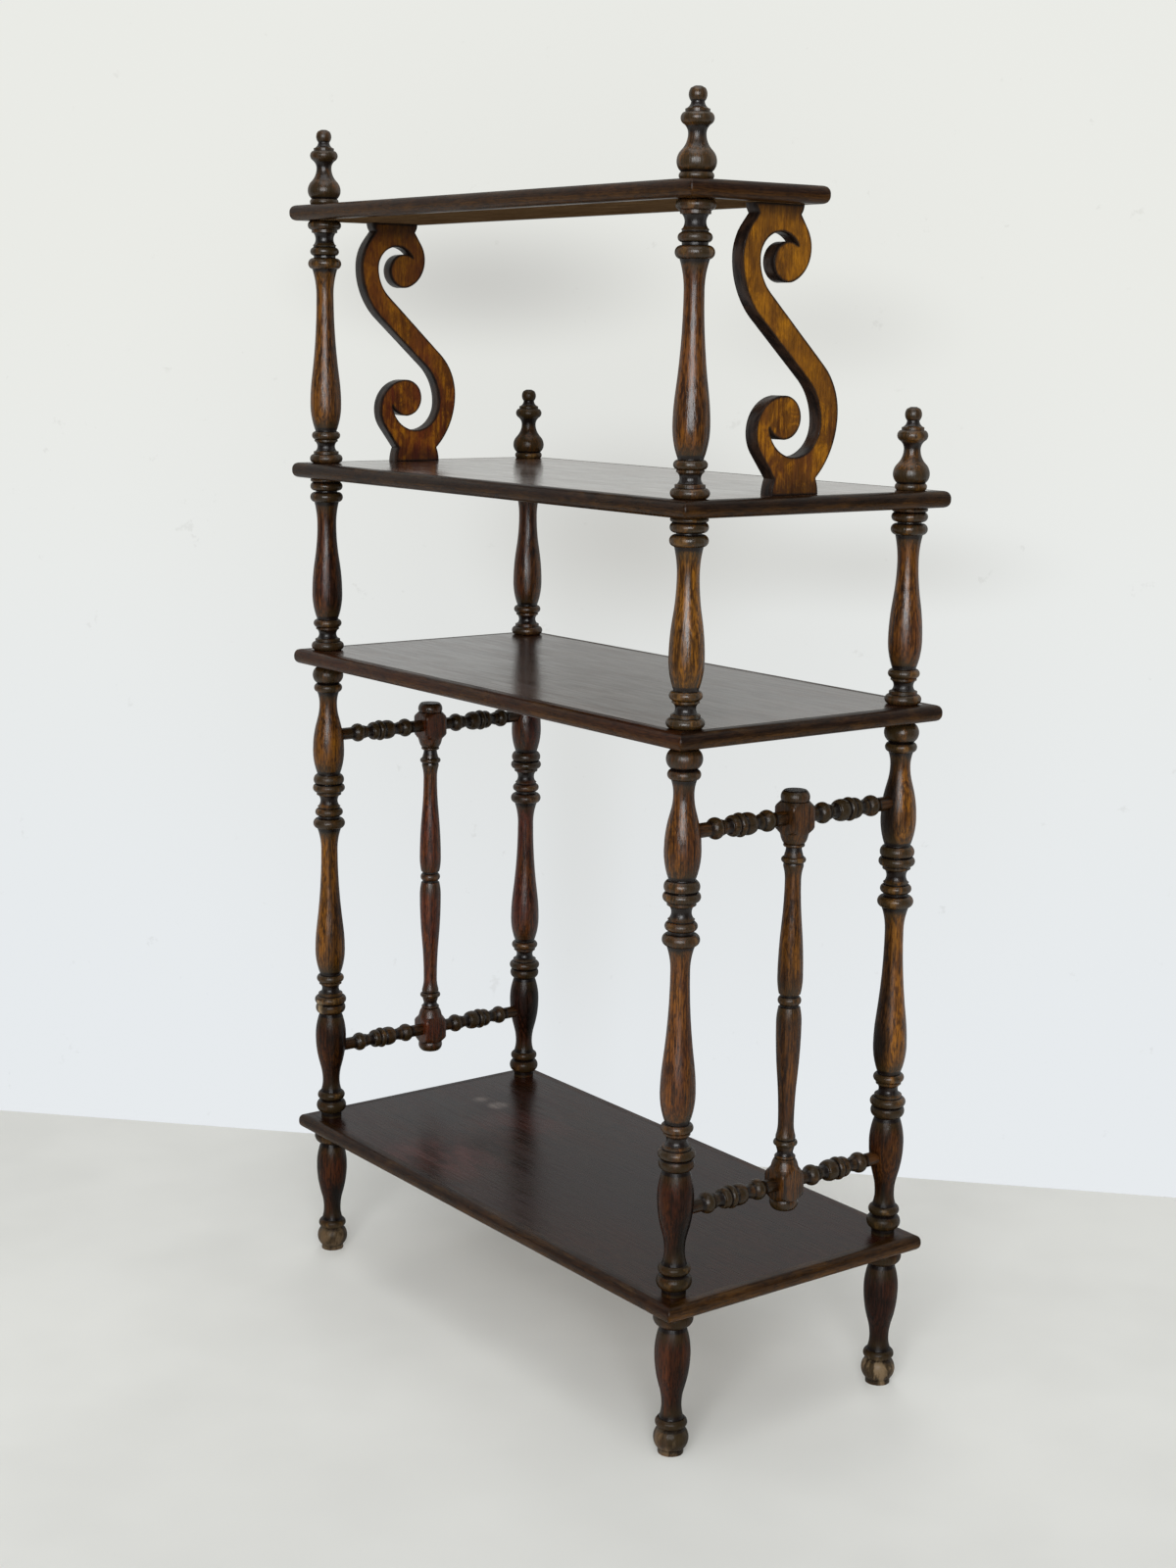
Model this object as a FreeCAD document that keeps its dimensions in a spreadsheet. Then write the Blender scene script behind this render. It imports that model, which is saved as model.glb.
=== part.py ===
"""Etagere in turned wood: four shelves on stacked turned columns.

The part stands on the floor at z = 0, with its long side along X, its front towards -Y and its
tall rear posts towards +Y.  The origin is the middle of the rectangle that the shelves cover.
All lengths are millimetres.
"""
import FreeCAD
import Part
import math
import os

import Sketcher
from FreeCAD import Placement, Rotation, Vector

# Driving dimensions: name, millimetres, meaning.  They fill the spreadsheet "dims".
DIMENSIONS = [
    # Plan of the shelves and posts
    ("post_pitch_long", 625.0, "post axis to post axis along X"),
    ("post_pitch_short", 268.4, "post axis to post axis along Y"),
    ("shelf_overhang", 28.0, "shelf edge beyond the post axis"),
    ("shelf_thickness", 16.0, "panel and edge strip"),
    ("top_shelf_depth", 160.0, "half-depth top shelf, front to rear"),
    ("strip_width", 14.0, "edge strip, nose to panel"),
    ("nose_flat", 1.6, "upright flat left on the rounded nose"),
    ("tongue_length", 5.0, "panel tongue beyond the panel face"),
    ("tongue_thickness", 5.0, "panel tongue"),
    # Joints
    ("fit", 0.1, "clearance round a tenon, dowel or tongue"),
    ("tenon_radius", 7.0, "tenon under a column or finial"),
    ("tenon_depth", 12.0, "tenon inside the piece below the shelf"),
    ("tenon_chamfer", 1.0, "lead at the end of a tenon"),
    ("socket_spare", 1.0, "socket deeper than its tenon"),
    # Mouldings that the turner repeats
    ("ring_length", 9.5, "large ring of the cove moulding"),
    ("ring_radius", 17.8, "large ring"),
    ("ring_root_radius", 14.0, "foot of the large ring"),
    ("fillet_length", 3.1, "large fillet"),
    ("fillet_radius", 13.7, "large fillet"),
    ("cove_length", 10.5, "hollow between the fillets"),
    ("high_cove_length", 13.0, "the same hollow below a shelf"),
    ("cove_radius", 9.6, "narrowest point of the hollow"),
    ("cove_edge_radius", 12.2, "lip of the hollow"),
    ("small_fillet_length", 2.1, "small fillet"),
    ("small_fillet_radius", 12.7, "small fillet"),
    ("small_ring_length", 8.8, "small ring"),
    ("small_ring_radius", 15.4, "small ring"),
    ("quirk_length", 0.9, "narrow groove beside a vase"),
    ("quirk_radius", 11.7, "narrow groove"),
    ("twin_ring_length", 11.2, "ring beside the large ring"),
    ("twin_ring_radius", 16.8, "ring beside the large ring"),
    ("twin_root_radius", 15.2, "groove between the two rings"),
    ("flare_ring_length", 11.6, "ring at the top of a long vase"),
    ("flare_ring_radius", 17.7, "ring at the top of a long vase"),
    ("flare_gap_length", 2.4, "groove above that ring"),
    ("flare_edge_radius", 13.3, "upper edge of a long neck"),
    # Urn: the short vase used at both ends of the lower column and in the foot
    ("collar_length", 9.4, "ring between the urn and its ball"),
    ("collar_radius", 15.5, "ring between the urn and its ball"),
    ("collar_root_radius", 12.2, "foot of that ring"),
    ("urn_flare_length", 13.0, "neck up to the collar"),
    ("urn_flare_radius", 12.0, "edge of the neck beside the collar"),
    ("urn_neck_radius", 9.7, "narrowest point"),
    ("urn_hollow_length", 17.6, "neck to the turn of the curve"),
    ("urn_swell_length", 35.0, "turn of the curve to the belly"),
    ("urn_belly_radius", 17.3, "widest point"),
    ("urn_shoulder_length", 26.3, "belly to the groove"),
    ("urn_groove_radius", 12.6, "groove at the end of the urn"),
    # Lower column
    ("base_seat_length", 5.8, "plain neck on the bottom shelf"),
    ("base_ball_length", 15.2, "ball above it"),
    ("seat_radius", 11.6, "plain neck at either end"),
    ("ball_radius", 16.9, "ball at either end"),
    ("ball_root_radius", 11.5, "where the ball meets its neighbours"),
    ("top_ball_length", 19.0, "ball under the second shelf"),
    ("top_seat_length", 2.2, "plain neck under the second shelf"),
    ("long_shoulder_length", 27.7, "groove to the belly of a long vase"),
    ("long_belly_radius", 16.7, "belly of a long vase"),
    ("long_swell_length", 29.0, "belly to the turn of the curve"),
    ("long_hollow_length", 87.3, "turn of the curve to the neck"),
    ("long_neck_radius", 9.2, "neck of a long vase"),
    ("lower_flare_length", 23.6, "neck to the flare ring"),
    # Middle column
    ("middle_shoulder_length", 26.7, "groove to the belly"),
    ("middle_belly_radius", 16.4, "belly"),
    ("middle_swell_length", 38.0, "belly to the turn of the curve"),
    ("middle_hollow_length", 38.0, "turn of the curve to the neck"),
    ("middle_neck_radius", 10.3, "neck"),
    ("middle_flare_length", 24.5, "neck to the cap rings"),
    ("cap_ring_length", 10.5, "flare ring of the cap"),
    ("cap_gap_length", 1.8, "groove between the rings of the cap"),
    ("cap_second_length", 9.3, "second ring of the cap"),
    ("cap_second_radius", 17.5, "second ring of the cap"),
    ("cap_disc_length", 4.3, "disc under the third shelf"),
    ("cap_disc_radius", 17.3, "disc under the third shelf"),
    # Upper column
    ("upper_flare_length", 26.4, "neck to the flare ring"),
    # Foot
    ("pad_length", 4.5, "plain disc on the floor"),
    ("pad_radius", 12.4, "plain disc on the floor"),
    ("foot_ball_length", 21.6, "ball above it"),
    ("foot_ball_radius", 17.0, "ball above it"),
    ("foot_collar_length", 15.0, "collar under the bottom shelf"),
    ("foot_collar_radius", 19.2, "collar under the bottom shelf"),
    ("foot_collar_edge_radius", 16.4, "collar where it meets the shelf"),
    # Finial
    ("finial_ring_length", 6.6, "ring on the shelf"),
    ("finial_ring_radius", 15.4, "ring on the shelf"),
    ("finial_root_radius", 13.6, "foot of that ring"),
    ("finial_shoulder_length", 8.4, "groove to the belly"),
    ("finial_belly_radius", 17.5, "belly"),
    ("finial_swell_length", 9.5, "belly to the turn of the curve"),
    ("finial_hollow_length", 13.8, "turn of the curve to the waist"),
    ("finial_waist_radius", 8.0, "waist"),
    ("finial_flare_length", 8.0, "waist to the middle ring"),
    ("finial_flare_radius", 12.2, "edge below the middle ring"),
    ("finial_middle_length", 9.4, "middle ring"),
    ("finial_middle_radius", 14.7, "middle ring"),
    ("finial_fillet_length", 3.0, "fillet above it"),
    ("finial_fillet_radius", 10.8, "fillet above it"),
    ("finial_neck_length", 6.2, "hollow under the knob"),
    ("finial_neck_radius", 6.0, "neck under the knob"),
    ("knob_length", 11.0, "knob without its crown"),
    ("knob_radius", 8.1, "knob"),
    ("knob_crown_radius", 6.3, "edge of the crown"),
    ("knob_crown_length", 1.6, "crown"),
    # Stretcher
    ("low_hole_offset", 14.4, "lower stretcher axis below the belly of the urn"),
    ("high_hole_offset", 16.4, "upper stretcher axis above the belly of the urn"),
    ("rail_radius", 6.9, "plain ends of a stretcher"),
    ("rail_stop", 4.0, "end of a stretcher short of the post axis"),
    ("rail_plain_length", 12.5, "plain end beside the block"),
    ("rail_tenon_radius", 5.0, "tenon in the block"),
    ("rail_tenon_length", 11.5, "tenon in the block"),
    ("rail_slope_length", 2.6, "slope at each side of an end bead"),
    ("rail_slope_radius", 7.9, "top of that slope"),
    ("rail_bead_length", 10.8, "end bead"),
    ("rail_bead_radius", 10.4, "end bead"),
    ("rail_neck_length", 9.6, "hollow between bead and cluster"),
    ("rail_neck_radius", 6.6, "that hollow"),
    ("rail_neck_edge_radius", 7.6, "lip of that hollow"),
    ("rail_groove_radius", 9.2, "grooves of the cluster"),
    ("rail_egg_length", 12.5, "first and longest ring of the cluster"),
    ("rail_egg_radius", 10.8, "first ring"),
    ("rail_crest_length", 7.0, "second and widest ring"),
    ("rail_crest_radius", 11.6, "second ring"),
    ("rail_third_length", 7.5, "third ring"),
    ("rail_third_radius", 10.3, "third ring"),
    # Side spindle
    ("block_side", 28.0, "square block"),
    ("block_length", 30.0, "square block"),
    ("block_turned_length", 5.8, "corner of the block turned off at each end"),
    ("bun_length", 10.8, "bun beyond the block"),
    ("bun_radius", 13.8, "bun"),
    ("bun_root_radius", 12.8, "bun beside the block"),
    ("bun_crown_radius", 10.6, "flat end of the bun"),
    ("bell_length", 10.0, "bell beside the block"),
    ("bell_radius", 13.4, "bell where it meets the block"),
    ("bell_mouth_radius", 10.0, "small end of the bell"),
    ("lip_length", 3.2, "lip of the bell"),
    ("lip_radius", 10.3, "lip of the bell"),
    ("lip_root_radius", 8.6, "lip of the bell"),
    ("spindle_hollow_length", 9.5, "hollow below the bell"),
    ("spindle_hollow_radius", 7.5, "narrow end of the hollow"),
    ("spindle_hollow_edge_radius", 9.9, "wide end of the hollow"),
    ("spindle_ring_length", 5.8, "thin ring"),
    ("spindle_ring_radius", 11.8, "thin ring"),
    ("spindle_ring_root_radius", 9.2, "thin ring"),
    ("spindle_bead_length", 5.2, "low bead"),
    ("spindle_bead_radius", 9.7, "low bead"),
    ("spindle_flare_length", 11.5, "end of the taper to the low bead"),
    ("spindle_neck_radius", 7.7, "narrow end of the taper"),
    ("spindle_swell_length", 52.0, "belly to the turn of the curve"),
    ("spindle_belly_radius", 12.2, "wide end of the taper"),
    ("spindle_shoulder_length", 16.0, "belly to the groove beside the centre bead"),
    ("spindle_edge_radius", 10.4, "taper where it ends at that groove"),
    ("spindle_groove_length", 1.8, "groove beside the centre bead"),
    ("spindle_root_radius", 8.8, "groove beside the centre bead"),
    ("spindle_centre_length", 8.8, "centre bead"),
    ("spindle_centre_radius", 11.3, "centre bead"),
    ("spindle_centre_rise", 2.2, "centre bead above the middle of the spindle"),
    # Scrolls: "behind" and "before" are measured from the middle of the pad named
    ("scroll_thickness", 15.2, "sawn board"),
    ("scroll_setback_right", 21.6, "middle of the lower pad behind the middle of the shelf"),
    ("scroll_setback_left", 18.5, "the same for the left scroll, set by hand like the right"),
    ("pad_inset_right", 19.2, "upper pad behind the front edge of the top shelf"),
    ("pad_inset_left", 13.7, "the same for the left scroll"),
    ("pad_width", 56.2, "pad at either end of the scroll"),
    ("pad_flare", 3.2, "pad wider than its waist at each side"),
    ("lower_waist_height", 15.0, "waist above the third shelf"),
    ("upper_waist_depth", 8.8, "waist below the top shelf"),
    ("lower_eye_radius", 19.7, "eye of the lower volute"),
    ("lower_eye_behind", 14.4, "its centre behind the lower pad"),
    ("lower_eye_height", 69.4, "its centre above the third shelf"),
    ("lower_volute_radius", 32.6, "outer curve of the lower volute"),
    ("lower_volute_angle", 3.0, "degrees, lean of the line through both centres"),
    ("lower_front", 50.0, "foremost point of the scroll before the lower pad"),
    ("lower_front_height", 72.7, "its height above the third shelf"),
    ("lower_front_radius", 80.0, "outer curve below that point"),
    ("lower_arm_radius", 59.4, "outer curve above that point"),
    ("lower_throat", 28.3, "foremost point of the lower throat before the lower pad"),
    ("lower_throat_height", 64.5, "its height above the third shelf"),
    ("lower_throat_radius", 30.3, "throat below that point"),
    ("lower_inner_radius", 53.0, "inner curve above that point"),
    ("upper_eye_radius", 18.0, "eye of the upper volute"),
    ("upper_eye_before", 11.3, "its centre before the upper pad"),
    ("upper_eye_depth", 50.2, "its centre below the top shelf"),
    ("upper_volute_radius", 31.2, "outer curve of the upper volute"),
    ("upper_volute_angle", 20.5, "degrees, lean of the line through both centres"),
    ("upper_rear", 42.5, "rearmost point of the scroll behind the upper pad"),
    ("upper_rear_depth", 46.9, "its depth below the top shelf"),
    ("upper_rear_radius", 46.0, "outer curve above that point"),
    ("upper_arm_radius", 73.0, "outer curve below that point"),
    ("upper_throat", 21.4, "rearmost point of the upper throat behind the upper pad"),
    ("upper_throat_depth", 48.0, "its depth below the top shelf"),
    ("upper_throat_radius", 23.4, "throat above that point"),
    ("upper_inner_radius", 40.0, "inner curve below that point"),
    # Scroll dowels
    ("dowel_radius", 4.0, "dowel"),
    ("dowel_depth_scroll", 14.0, "dowel inside the scroll"),
    ("dowel_depth_shelf", 10.0, "dowel inside the shelf"),
    ("dowel_pitch", 26.0, "dowel to dowel in one pad"),
]

POST_CORNERS = {
    "rear_right": (1, 1),
    "rear_left": (-1, 1),
    "front_left": (-1, -1),
    "front_right": (1, -1),
}
SIDES = {"right": 1, "left": -1}


class Size:
    """A length that carries both its value and the expression that gives it."""

    def __init__(self, value, text):
        self.value = value
        self.text = text

    def combine(self, other, sign, value):
        text = other.text if isinstance(other, Size) else repr(float(other))
        return Size(value, "(" + self.text + " " + sign + " " + text + ")")

    def __add__(self, other):
        return self.combine(other, "+", self.value + number(other))

    def __sub__(self, other):
        return self.combine(other, "-", self.value - number(other))

    def __mul__(self, other):
        return self.combine(other, "*", self.value * number(other))

    def __truediv__(self, other):
        return self.combine(other, "/", self.value / number(other))


def number(size):
    """The plain value of a Size or of a number."""
    return size.value if isinstance(size, Size) else float(size)


class Dimensions:
    """Every named dimension as a Size."""


doc = FreeCAD.newDocument("Etagere")
sheet = doc.addObject("Spreadsheet::Sheet", "dims")
d = Dimensions()
for row, (name, value, meaning) in enumerate(DIMENSIONS, start=1):
    sheet.set("A%d" % row, name)
    sheet.set("B%d" % row, str(value))
    sheet.set("C%d" % row, meaning)
    sheet.setAlias("B%d" % row, name)
    setattr(d, name, Size(value, "dims." + name))
doc.recompute()

nodes = []


def body_named(label):
    """A new body that becomes one node of the part."""
    body = doc.addObject("PartDesign::Body", label)
    body.Label = label
    nodes.append(body)
    return body


def plane_of(body, role):
    """Origin plane of a body: XY_Plane, XZ_Plane or YZ_Plane."""
    for feature in body.Origin.OriginFeatures:
        if feature.Role == role:
            return feature
    raise ValueError(role)


def sketch_on(body, role, name, offset=None):
    """A sketch on an origin plane, moved off the plane by the Size offset."""
    sketch = body.newObject("Sketcher::SketchObject", name)
    sketch.AttachmentSupport = [(plane_of(body, role), "")]
    sketch.MapMode = "FlatFace"
    if offset is not None:
        sketch.setExpression(".AttachmentOffset.Base.z", offset.text)
    sketch.Visibility = False
    return sketch


class Drawing:
    """Geometry and constraints of one sketch, sent to it in one call each."""

    def __init__(self, sketch):
        self.sketch = sketch
        self.shapes = []
        self.rules = []
        self.bound = []

    def line(self, start, end):
        self.shapes.append(Part.LineSegment(Vector(*start, 0), Vector(*end, 0)))
        return len(self.shapes) - 1

    def arc(self, start, end, centre, turn):
        """Arc about centre from start to end; turn is 1 anticlockwise or -1 clockwise."""
        first = start if turn > 0 else end
        last = end if turn > 0 else start
        begin = math.atan2(first[1] - centre[1], first[0] - centre[0])
        stop = math.atan2(last[1] - centre[1], last[0] - centre[0])
        while stop <= begin:
            stop += 2 * math.pi
        radius = math.hypot(first[0] - centre[0], first[1] - centre[1])
        circle = Part.Circle(Vector(*centre, 0), Vector(0, 0, 1), radius)
        self.shapes.append(Part.ArcOfCircle(circle, begin, stop))
        return len(self.shapes) - 1

    def circle(self, centre, radius):
        self.shapes.append(Part.Circle(Vector(*centre, 0), Vector(0, 0, 1), radius))
        return len(self.shapes) - 1

    def rule(self, *words):
        self.rules.append(Sketcher.Constraint(*words))

    def measure(self, size, *words):
        """A dimension of the sketch, bound to the sheet through its expression."""
        self.rules.append(Sketcher.Constraint(*words, size.value))
        self.bound.append((len(self.rules) - 1, size.text))

    def place(self, shape, end, across, up):
        """Fix a point by its distances from the sketch origin; either may be zero."""
        if abs(number(across)) < 1e-9:
            self.rule("PointOnObject", shape, end, -2)
        elif across.value > 0:
            self.measure(across, "DistanceX", -1, 1, shape, end)
        else:
            self.measure(Size(0.0, "0") - across, "DistanceX", shape, end, -1, 1)
        if abs(number(up)) < 1e-9:
            self.rule("PointOnObject", shape, end, -1)
        elif up.value > 0:
            self.measure(up, "DistanceY", -1, 1, shape, end)
        else:
            self.measure(Size(0.0, "0") - up, "DistanceY", shape, end, -1, 1)

    def finish(self):
        self.sketch.addGeometry(self.shapes, False)
        self.sketch.addConstraint(self.rules)
        for index, text in self.bound:
            self.sketch.setExpression("Constraints[%d]" % index, text)


# Turned work -------------------------------------------------------------------------------
# A moulding is a start radius and a list of links (kind, length, end radius, peak radius),
# read upwards.  Kinds: "line"; "step", a flat shoulder; "bead", an arc through the peak;
# "rise", an arc whose end is upright; "leave", an arc whose start is upright.

def flipped(start, links):
    """The same moulding read downwards."""
    swap = {"rise": "leave", "leave": "rise"}
    radii = [start] + [link[2] for link in links]
    turned = []
    for index in range(len(links) - 1, -1, -1):
        kind, length, end, peak = links[index]
        turned.append((swap.get(kind, kind), length, radii[index], peak))
    return radii[-1], turned


def joined(*mouldings):
    """Mouldings on top of each other, with a flat shoulder wherever the radii differ."""
    start, links = mouldings[0][0], list(mouldings[0][1])
    for first, more in mouldings[1:]:
        if first.text != links[-1][2].text:
            links.append(("step", None, first, None))
        links.extend(more)
    return start, links


def height_of(moulding):
    """Sum of the lengths of a moulding."""
    total = Size(0.0, "0")
    for kind, length, end, peak in moulding[1]:
        if length is not None:
            total = total + length
    return total


def bead(length, root, peak):
    return root, [("bead", length, root, peak)]


def band(length, radius):
    return radius, [("line", length, radius, None)]


def falling_curve(belly, swell, hollow, neck):
    """Double curve from the belly down to the neck radius, upright at both ends."""
    turn = belly - (belly - neck) * swell / (swell + hollow)
    return belly, [("leave", swell, turn, None), ("rise", hollow, neck, None)]


def urn():
    """Short vase with its neck at the lower end, up to the groove above its belly."""
    neck = d.urn_neck_radius
    curve = flipped(*falling_curve(d.urn_belly_radius, d.urn_swell_length,
                                   d.urn_hollow_length, neck))
    start, links = curve
    flare = [("rise", d.urn_flare_length, neck, None)]
    shoulder = [("leave", d.urn_shoulder_length, d.urn_groove_radius, None)]
    return d.urn_flare_radius, flare + links + shoulder


def cove_moulding(cove_length):
    """Large ring, hollow and small ring, as above each shelf."""
    return joined(
        bead(d.ring_length, d.ring_root_radius, d.ring_radius),
        band(d.fillet_length, d.fillet_radius),
        bead(cove_length, d.cove_edge_radius, d.cove_radius),
        band(d.small_fillet_length, d.small_fillet_radius),
        bead(d.small_ring_length, d.quirk_radius, d.small_ring_radius),
    )


def under_shelf():
    """Groove above a flare ring, then the cove moulding upside down."""
    return joined(band(d.flare_gap_length, d.quirk_radius),
                  flipped(*cove_moulding(d.high_cove_length)))


def vase(shoulder, belly, swell, hollow, neck, flare):
    """Long vase on its quirk, up to the flare."""
    start, links = falling_curve(belly, swell, hollow, neck)
    rising = [("line", d.quirk_length, d.quirk_radius, None), ("rise", shoulder, belly, None)]
    return d.quirk_radius, rising + links + [("leave", flare, d.flare_edge_radius, None)]


foot_moulding = joined(
    band(d.pad_length, d.pad_radius),
    bead(d.foot_ball_length, d.collar_root_radius, d.foot_ball_radius),
    bead(d.collar_length, d.collar_root_radius, d.collar_radius),
    urn(),
    (d.urn_groove_radius, [("bead", d.foot_collar_length, d.foot_collar_edge_radius,
                            d.foot_collar_radius)]),
)
foot_height = height_of(foot_moulding)

urn_with_rings = joined(
    bead(d.collar_length, d.collar_root_radius, d.collar_radius),
    urn(),
    (d.urn_groove_radius, [("bead", d.twin_ring_length, d.twin_root_radius,
                            d.twin_ring_radius)]),
)
long_vase = vase(d.long_shoulder_length, d.long_belly_radius, d.long_swell_length,
                 d.long_hollow_length, d.long_neck_radius, d.lower_flare_length)
lower_moulding = joined(
    band(d.base_seat_length, d.seat_radius),
    bead(d.base_ball_length, d.ball_root_radius, d.ball_radius),
    urn_with_rings,
    cove_moulding(d.cove_length),
    long_vase,
    bead(d.flare_ring_length, d.flare_edge_radius, d.flare_ring_radius),
    under_shelf(),
    flipped(*urn_with_rings),
    bead(d.top_ball_length, d.ball_root_radius, d.ball_radius),
    band(d.top_seat_length, d.seat_radius),
)
lower_height = height_of(lower_moulding)

middle_moulding = joined(
    cove_moulding(d.cove_length),
    vase(d.middle_shoulder_length, d.middle_belly_radius, d.middle_swell_length,
         d.middle_hollow_length, d.middle_neck_radius, d.middle_flare_length),
    bead(d.cap_ring_length, d.ring_root_radius, d.flare_ring_radius),
    band(d.cap_gap_length, d.quirk_radius),
    bead(d.cap_second_length, d.ring_root_radius, d.cap_second_radius),
    bead(d.cap_disc_length, d.twin_root_radius, d.cap_disc_radius),
)
middle_height = height_of(middle_moulding)

upper_moulding = joined(
    cove_moulding(d.cove_length),
    vase(d.long_shoulder_length, d.long_belly_radius, d.long_swell_length,
         d.long_hollow_length, d.long_neck_radius, d.upper_flare_length),
    bead(d.flare_ring_length, d.flare_edge_radius, d.flare_ring_radius),
    under_shelf(),
)
upper_height = height_of(upper_moulding)

finial_start, finial_curve = falling_curve(d.finial_belly_radius, d.finial_swell_length,
                                           d.finial_hollow_length, d.finial_waist_radius)
finial_moulding = joined(
    bead(d.finial_ring_length, d.finial_root_radius, d.finial_ring_radius),
    (d.finial_root_radius,
     [("rise", d.finial_shoulder_length, d.finial_belly_radius, None)] + finial_curve
     + [("leave", d.finial_flare_length, d.finial_flare_radius, None)]),
    bead(d.finial_middle_length, d.finial_flare_radius, d.finial_middle_radius),
    band(d.finial_fillet_length, d.finial_fillet_radius),
    (d.finial_fillet_radius, [("rise", d.finial_neck_length, d.finial_neck_radius, None),
                              ("bead", d.knob_length, d.knob_crown_radius, d.knob_radius),
                              ("line", d.knob_crown_length, d.knob_crown_radius / 2, None)]),
)

# Heights of the shelves, each given by the turned work that carries it.
bottom_shelf_top = foot_height + d.shelf_thickness
second_shelf_top = bottom_shelf_top + lower_height + d.shelf_thickness
third_shelf_top = second_shelf_top + middle_height + d.shelf_thickness

# Stretcher axes on the lower column: below the belly of the low urn, above that of the high one.
low_urn_belly = (d.base_seat_length + d.base_ball_length + d.collar_length + d.urn_flare_length
                 + d.urn_hollow_length + d.urn_swell_length)
high_urn_belly = (lower_height - d.top_seat_length - d.top_ball_length - d.collar_length
                  - d.urn_flare_length - d.urn_hollow_length - d.urn_swell_length)
low_hole = low_urn_belly - d.low_hole_offset
high_hole = high_urn_belly + d.high_hole_offset

end_bead = (d.rail_radius, [
    ("line", d.rail_slope_length, d.rail_slope_radius, None),
    ("bead", d.rail_bead_length, d.rail_slope_radius, d.rail_bead_radius),
    ("line", d.rail_slope_length, d.rail_radius, None),
])
rail_neck = bead(d.rail_neck_length, d.rail_neck_edge_radius, d.rail_neck_radius)
rail_moulding = joined(
    end_bead,
    rail_neck,
    bead(d.rail_egg_length, d.rail_groove_radius, d.rail_egg_radius),
    bead(d.rail_crest_length, d.rail_groove_radius, d.rail_crest_radius),
    bead(d.rail_third_length, d.rail_groove_radius, d.rail_third_radius),
    rail_neck,
    end_bead,
)

# Taper of a side spindle, where its centre bead stands in the middle.
taper_length = ((high_hole - low_hole) / 2 - d.block_length / 2 - d.bell_length - d.lip_length
                - d.spindle_hollow_length - d.spindle_ring_length - d.spindle_bead_length
                - d.spindle_flare_length - d.spindle_swell_length - d.spindle_shoulder_length
                - d.spindle_groove_length - d.spindle_centre_length / 2)
block_corner = d.block_side * 0.5 * math.sqrt(2)


def derived(name, size):
    """Keep a computed length in the sheet and return it as a Size."""
    derived.row += 1
    cell = "B%d" % derived.row
    sheet.set("A%d" % derived.row, name)
    sheet.set(cell, "=" + size.text.replace("dims.", ""))
    sheet.setAlias(cell, name)
    return Size(size.value, "dims." + name)


derived.row = len(DIMENSIONS) + 1

scroll_height = derived("scroll_height", upper_height)
shelf_levels = {
    "bottom": derived("bottom_shelf_level", foot_height),
    "second": derived("second_shelf_level", bottom_shelf_top + lower_height),
    "third": derived("third_shelf_level", second_shelf_top + middle_height),
    "top": derived("top_shelf_level", third_shelf_top + upper_height),
}
low_hole = derived("low_hole", low_hole)
high_hole = derived("high_hole", high_hole)
taper_length = derived("taper_length", taper_length)
ZERO = Size(0.0, "0")



def spindle_half(taper):
    """Side spindle from the groove beside its centre bead outwards to the bun."""
    return joined(
        band(d.spindle_groove_length, d.spindle_root_radius),
        (d.spindle_edge_radius,
         [("rise", d.spindle_shoulder_length, d.spindle_belly_radius, None)]
         + falling_curve(d.spindle_belly_radius, d.spindle_swell_length, taper,
                         d.spindle_neck_radius)[1]
         + [("leave", d.spindle_flare_length, d.spindle_ring_root_radius, None)]),
        bead(d.spindle_bead_length, d.spindle_ring_root_radius, d.spindle_bead_radius),
        bead(d.spindle_ring_length, d.spindle_ring_root_radius, d.spindle_ring_radius),
        (d.spindle_hollow_edge_radius,
         [("rise", d.spindle_hollow_length, d.spindle_hollow_radius, None)]),
        bead(d.lip_length, d.lip_root_radius, d.lip_radius),
        (d.bell_mouth_radius, [("rise", d.bell_length, d.bell_radius, None)]),
        (d.block_side / 2, [
            ("line", d.block_turned_length, block_corner, None),
            ("line", d.block_length - d.block_turned_length * 2, block_corner, None),
            ("line", d.block_turned_length, d.block_side / 2, None),
        ]),
        (d.bun_root_radius, [("bead", d.bun_length, d.bun_crown_radius, d.bun_radius)]),
    )


spindle_moulding = joined(
    flipped(*spindle_half(taper_length + d.spindle_centre_rise)),
    bead(d.spindle_centre_length, d.spindle_root_radius, d.spindle_centre_radius),
    spindle_half(taper_length - d.spindle_centre_rise),
)


def link_shape(drawing, kind, low, high, peak):
    """Draw one link between two (radius, height) points; give its shape, ends and radius."""
    start = (low[0].value, low[1].value)
    end = (high[0].value, high[1].value)
    if kind in ("line", "step"):
        return drawing.line(start, end), 1, 2, None
    length = high[1] - low[1]
    if kind == "bead":
        swell = peak - (low[0] + high[0]) / 2
        side = 1 if swell.value > 0 else -1
        sag = swell * side
        width = high[0] - low[0]
        radius = ((length * length + width * width) / 4 + sag * sag) / (sag * 2)
        chord = math.hypot(length.value, width.value)
        reach = side * (sag.value - radius.value)
        centre = ((start[0] + end[0]) / 2 + reach * length.value / chord,
                  (start[1] + end[1]) / 2 - reach * width.value / chord)
    else:
        upright, other = (high, low) if kind == "rise" else (low, high)
        side = 1 if upright[0].value > other[0].value else -1
        width = (upright[0] - other[0]) * side
        radius = (length * length + width * width) / (width * 2)
        centre = (upright[0].value - side * radius.value, upright[1].value)
    shape = drawing.arc(start, end, centre, side)
    return (shape, 1, 2, radius) if side > 0 else (shape, 2, 1, radius)


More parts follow.
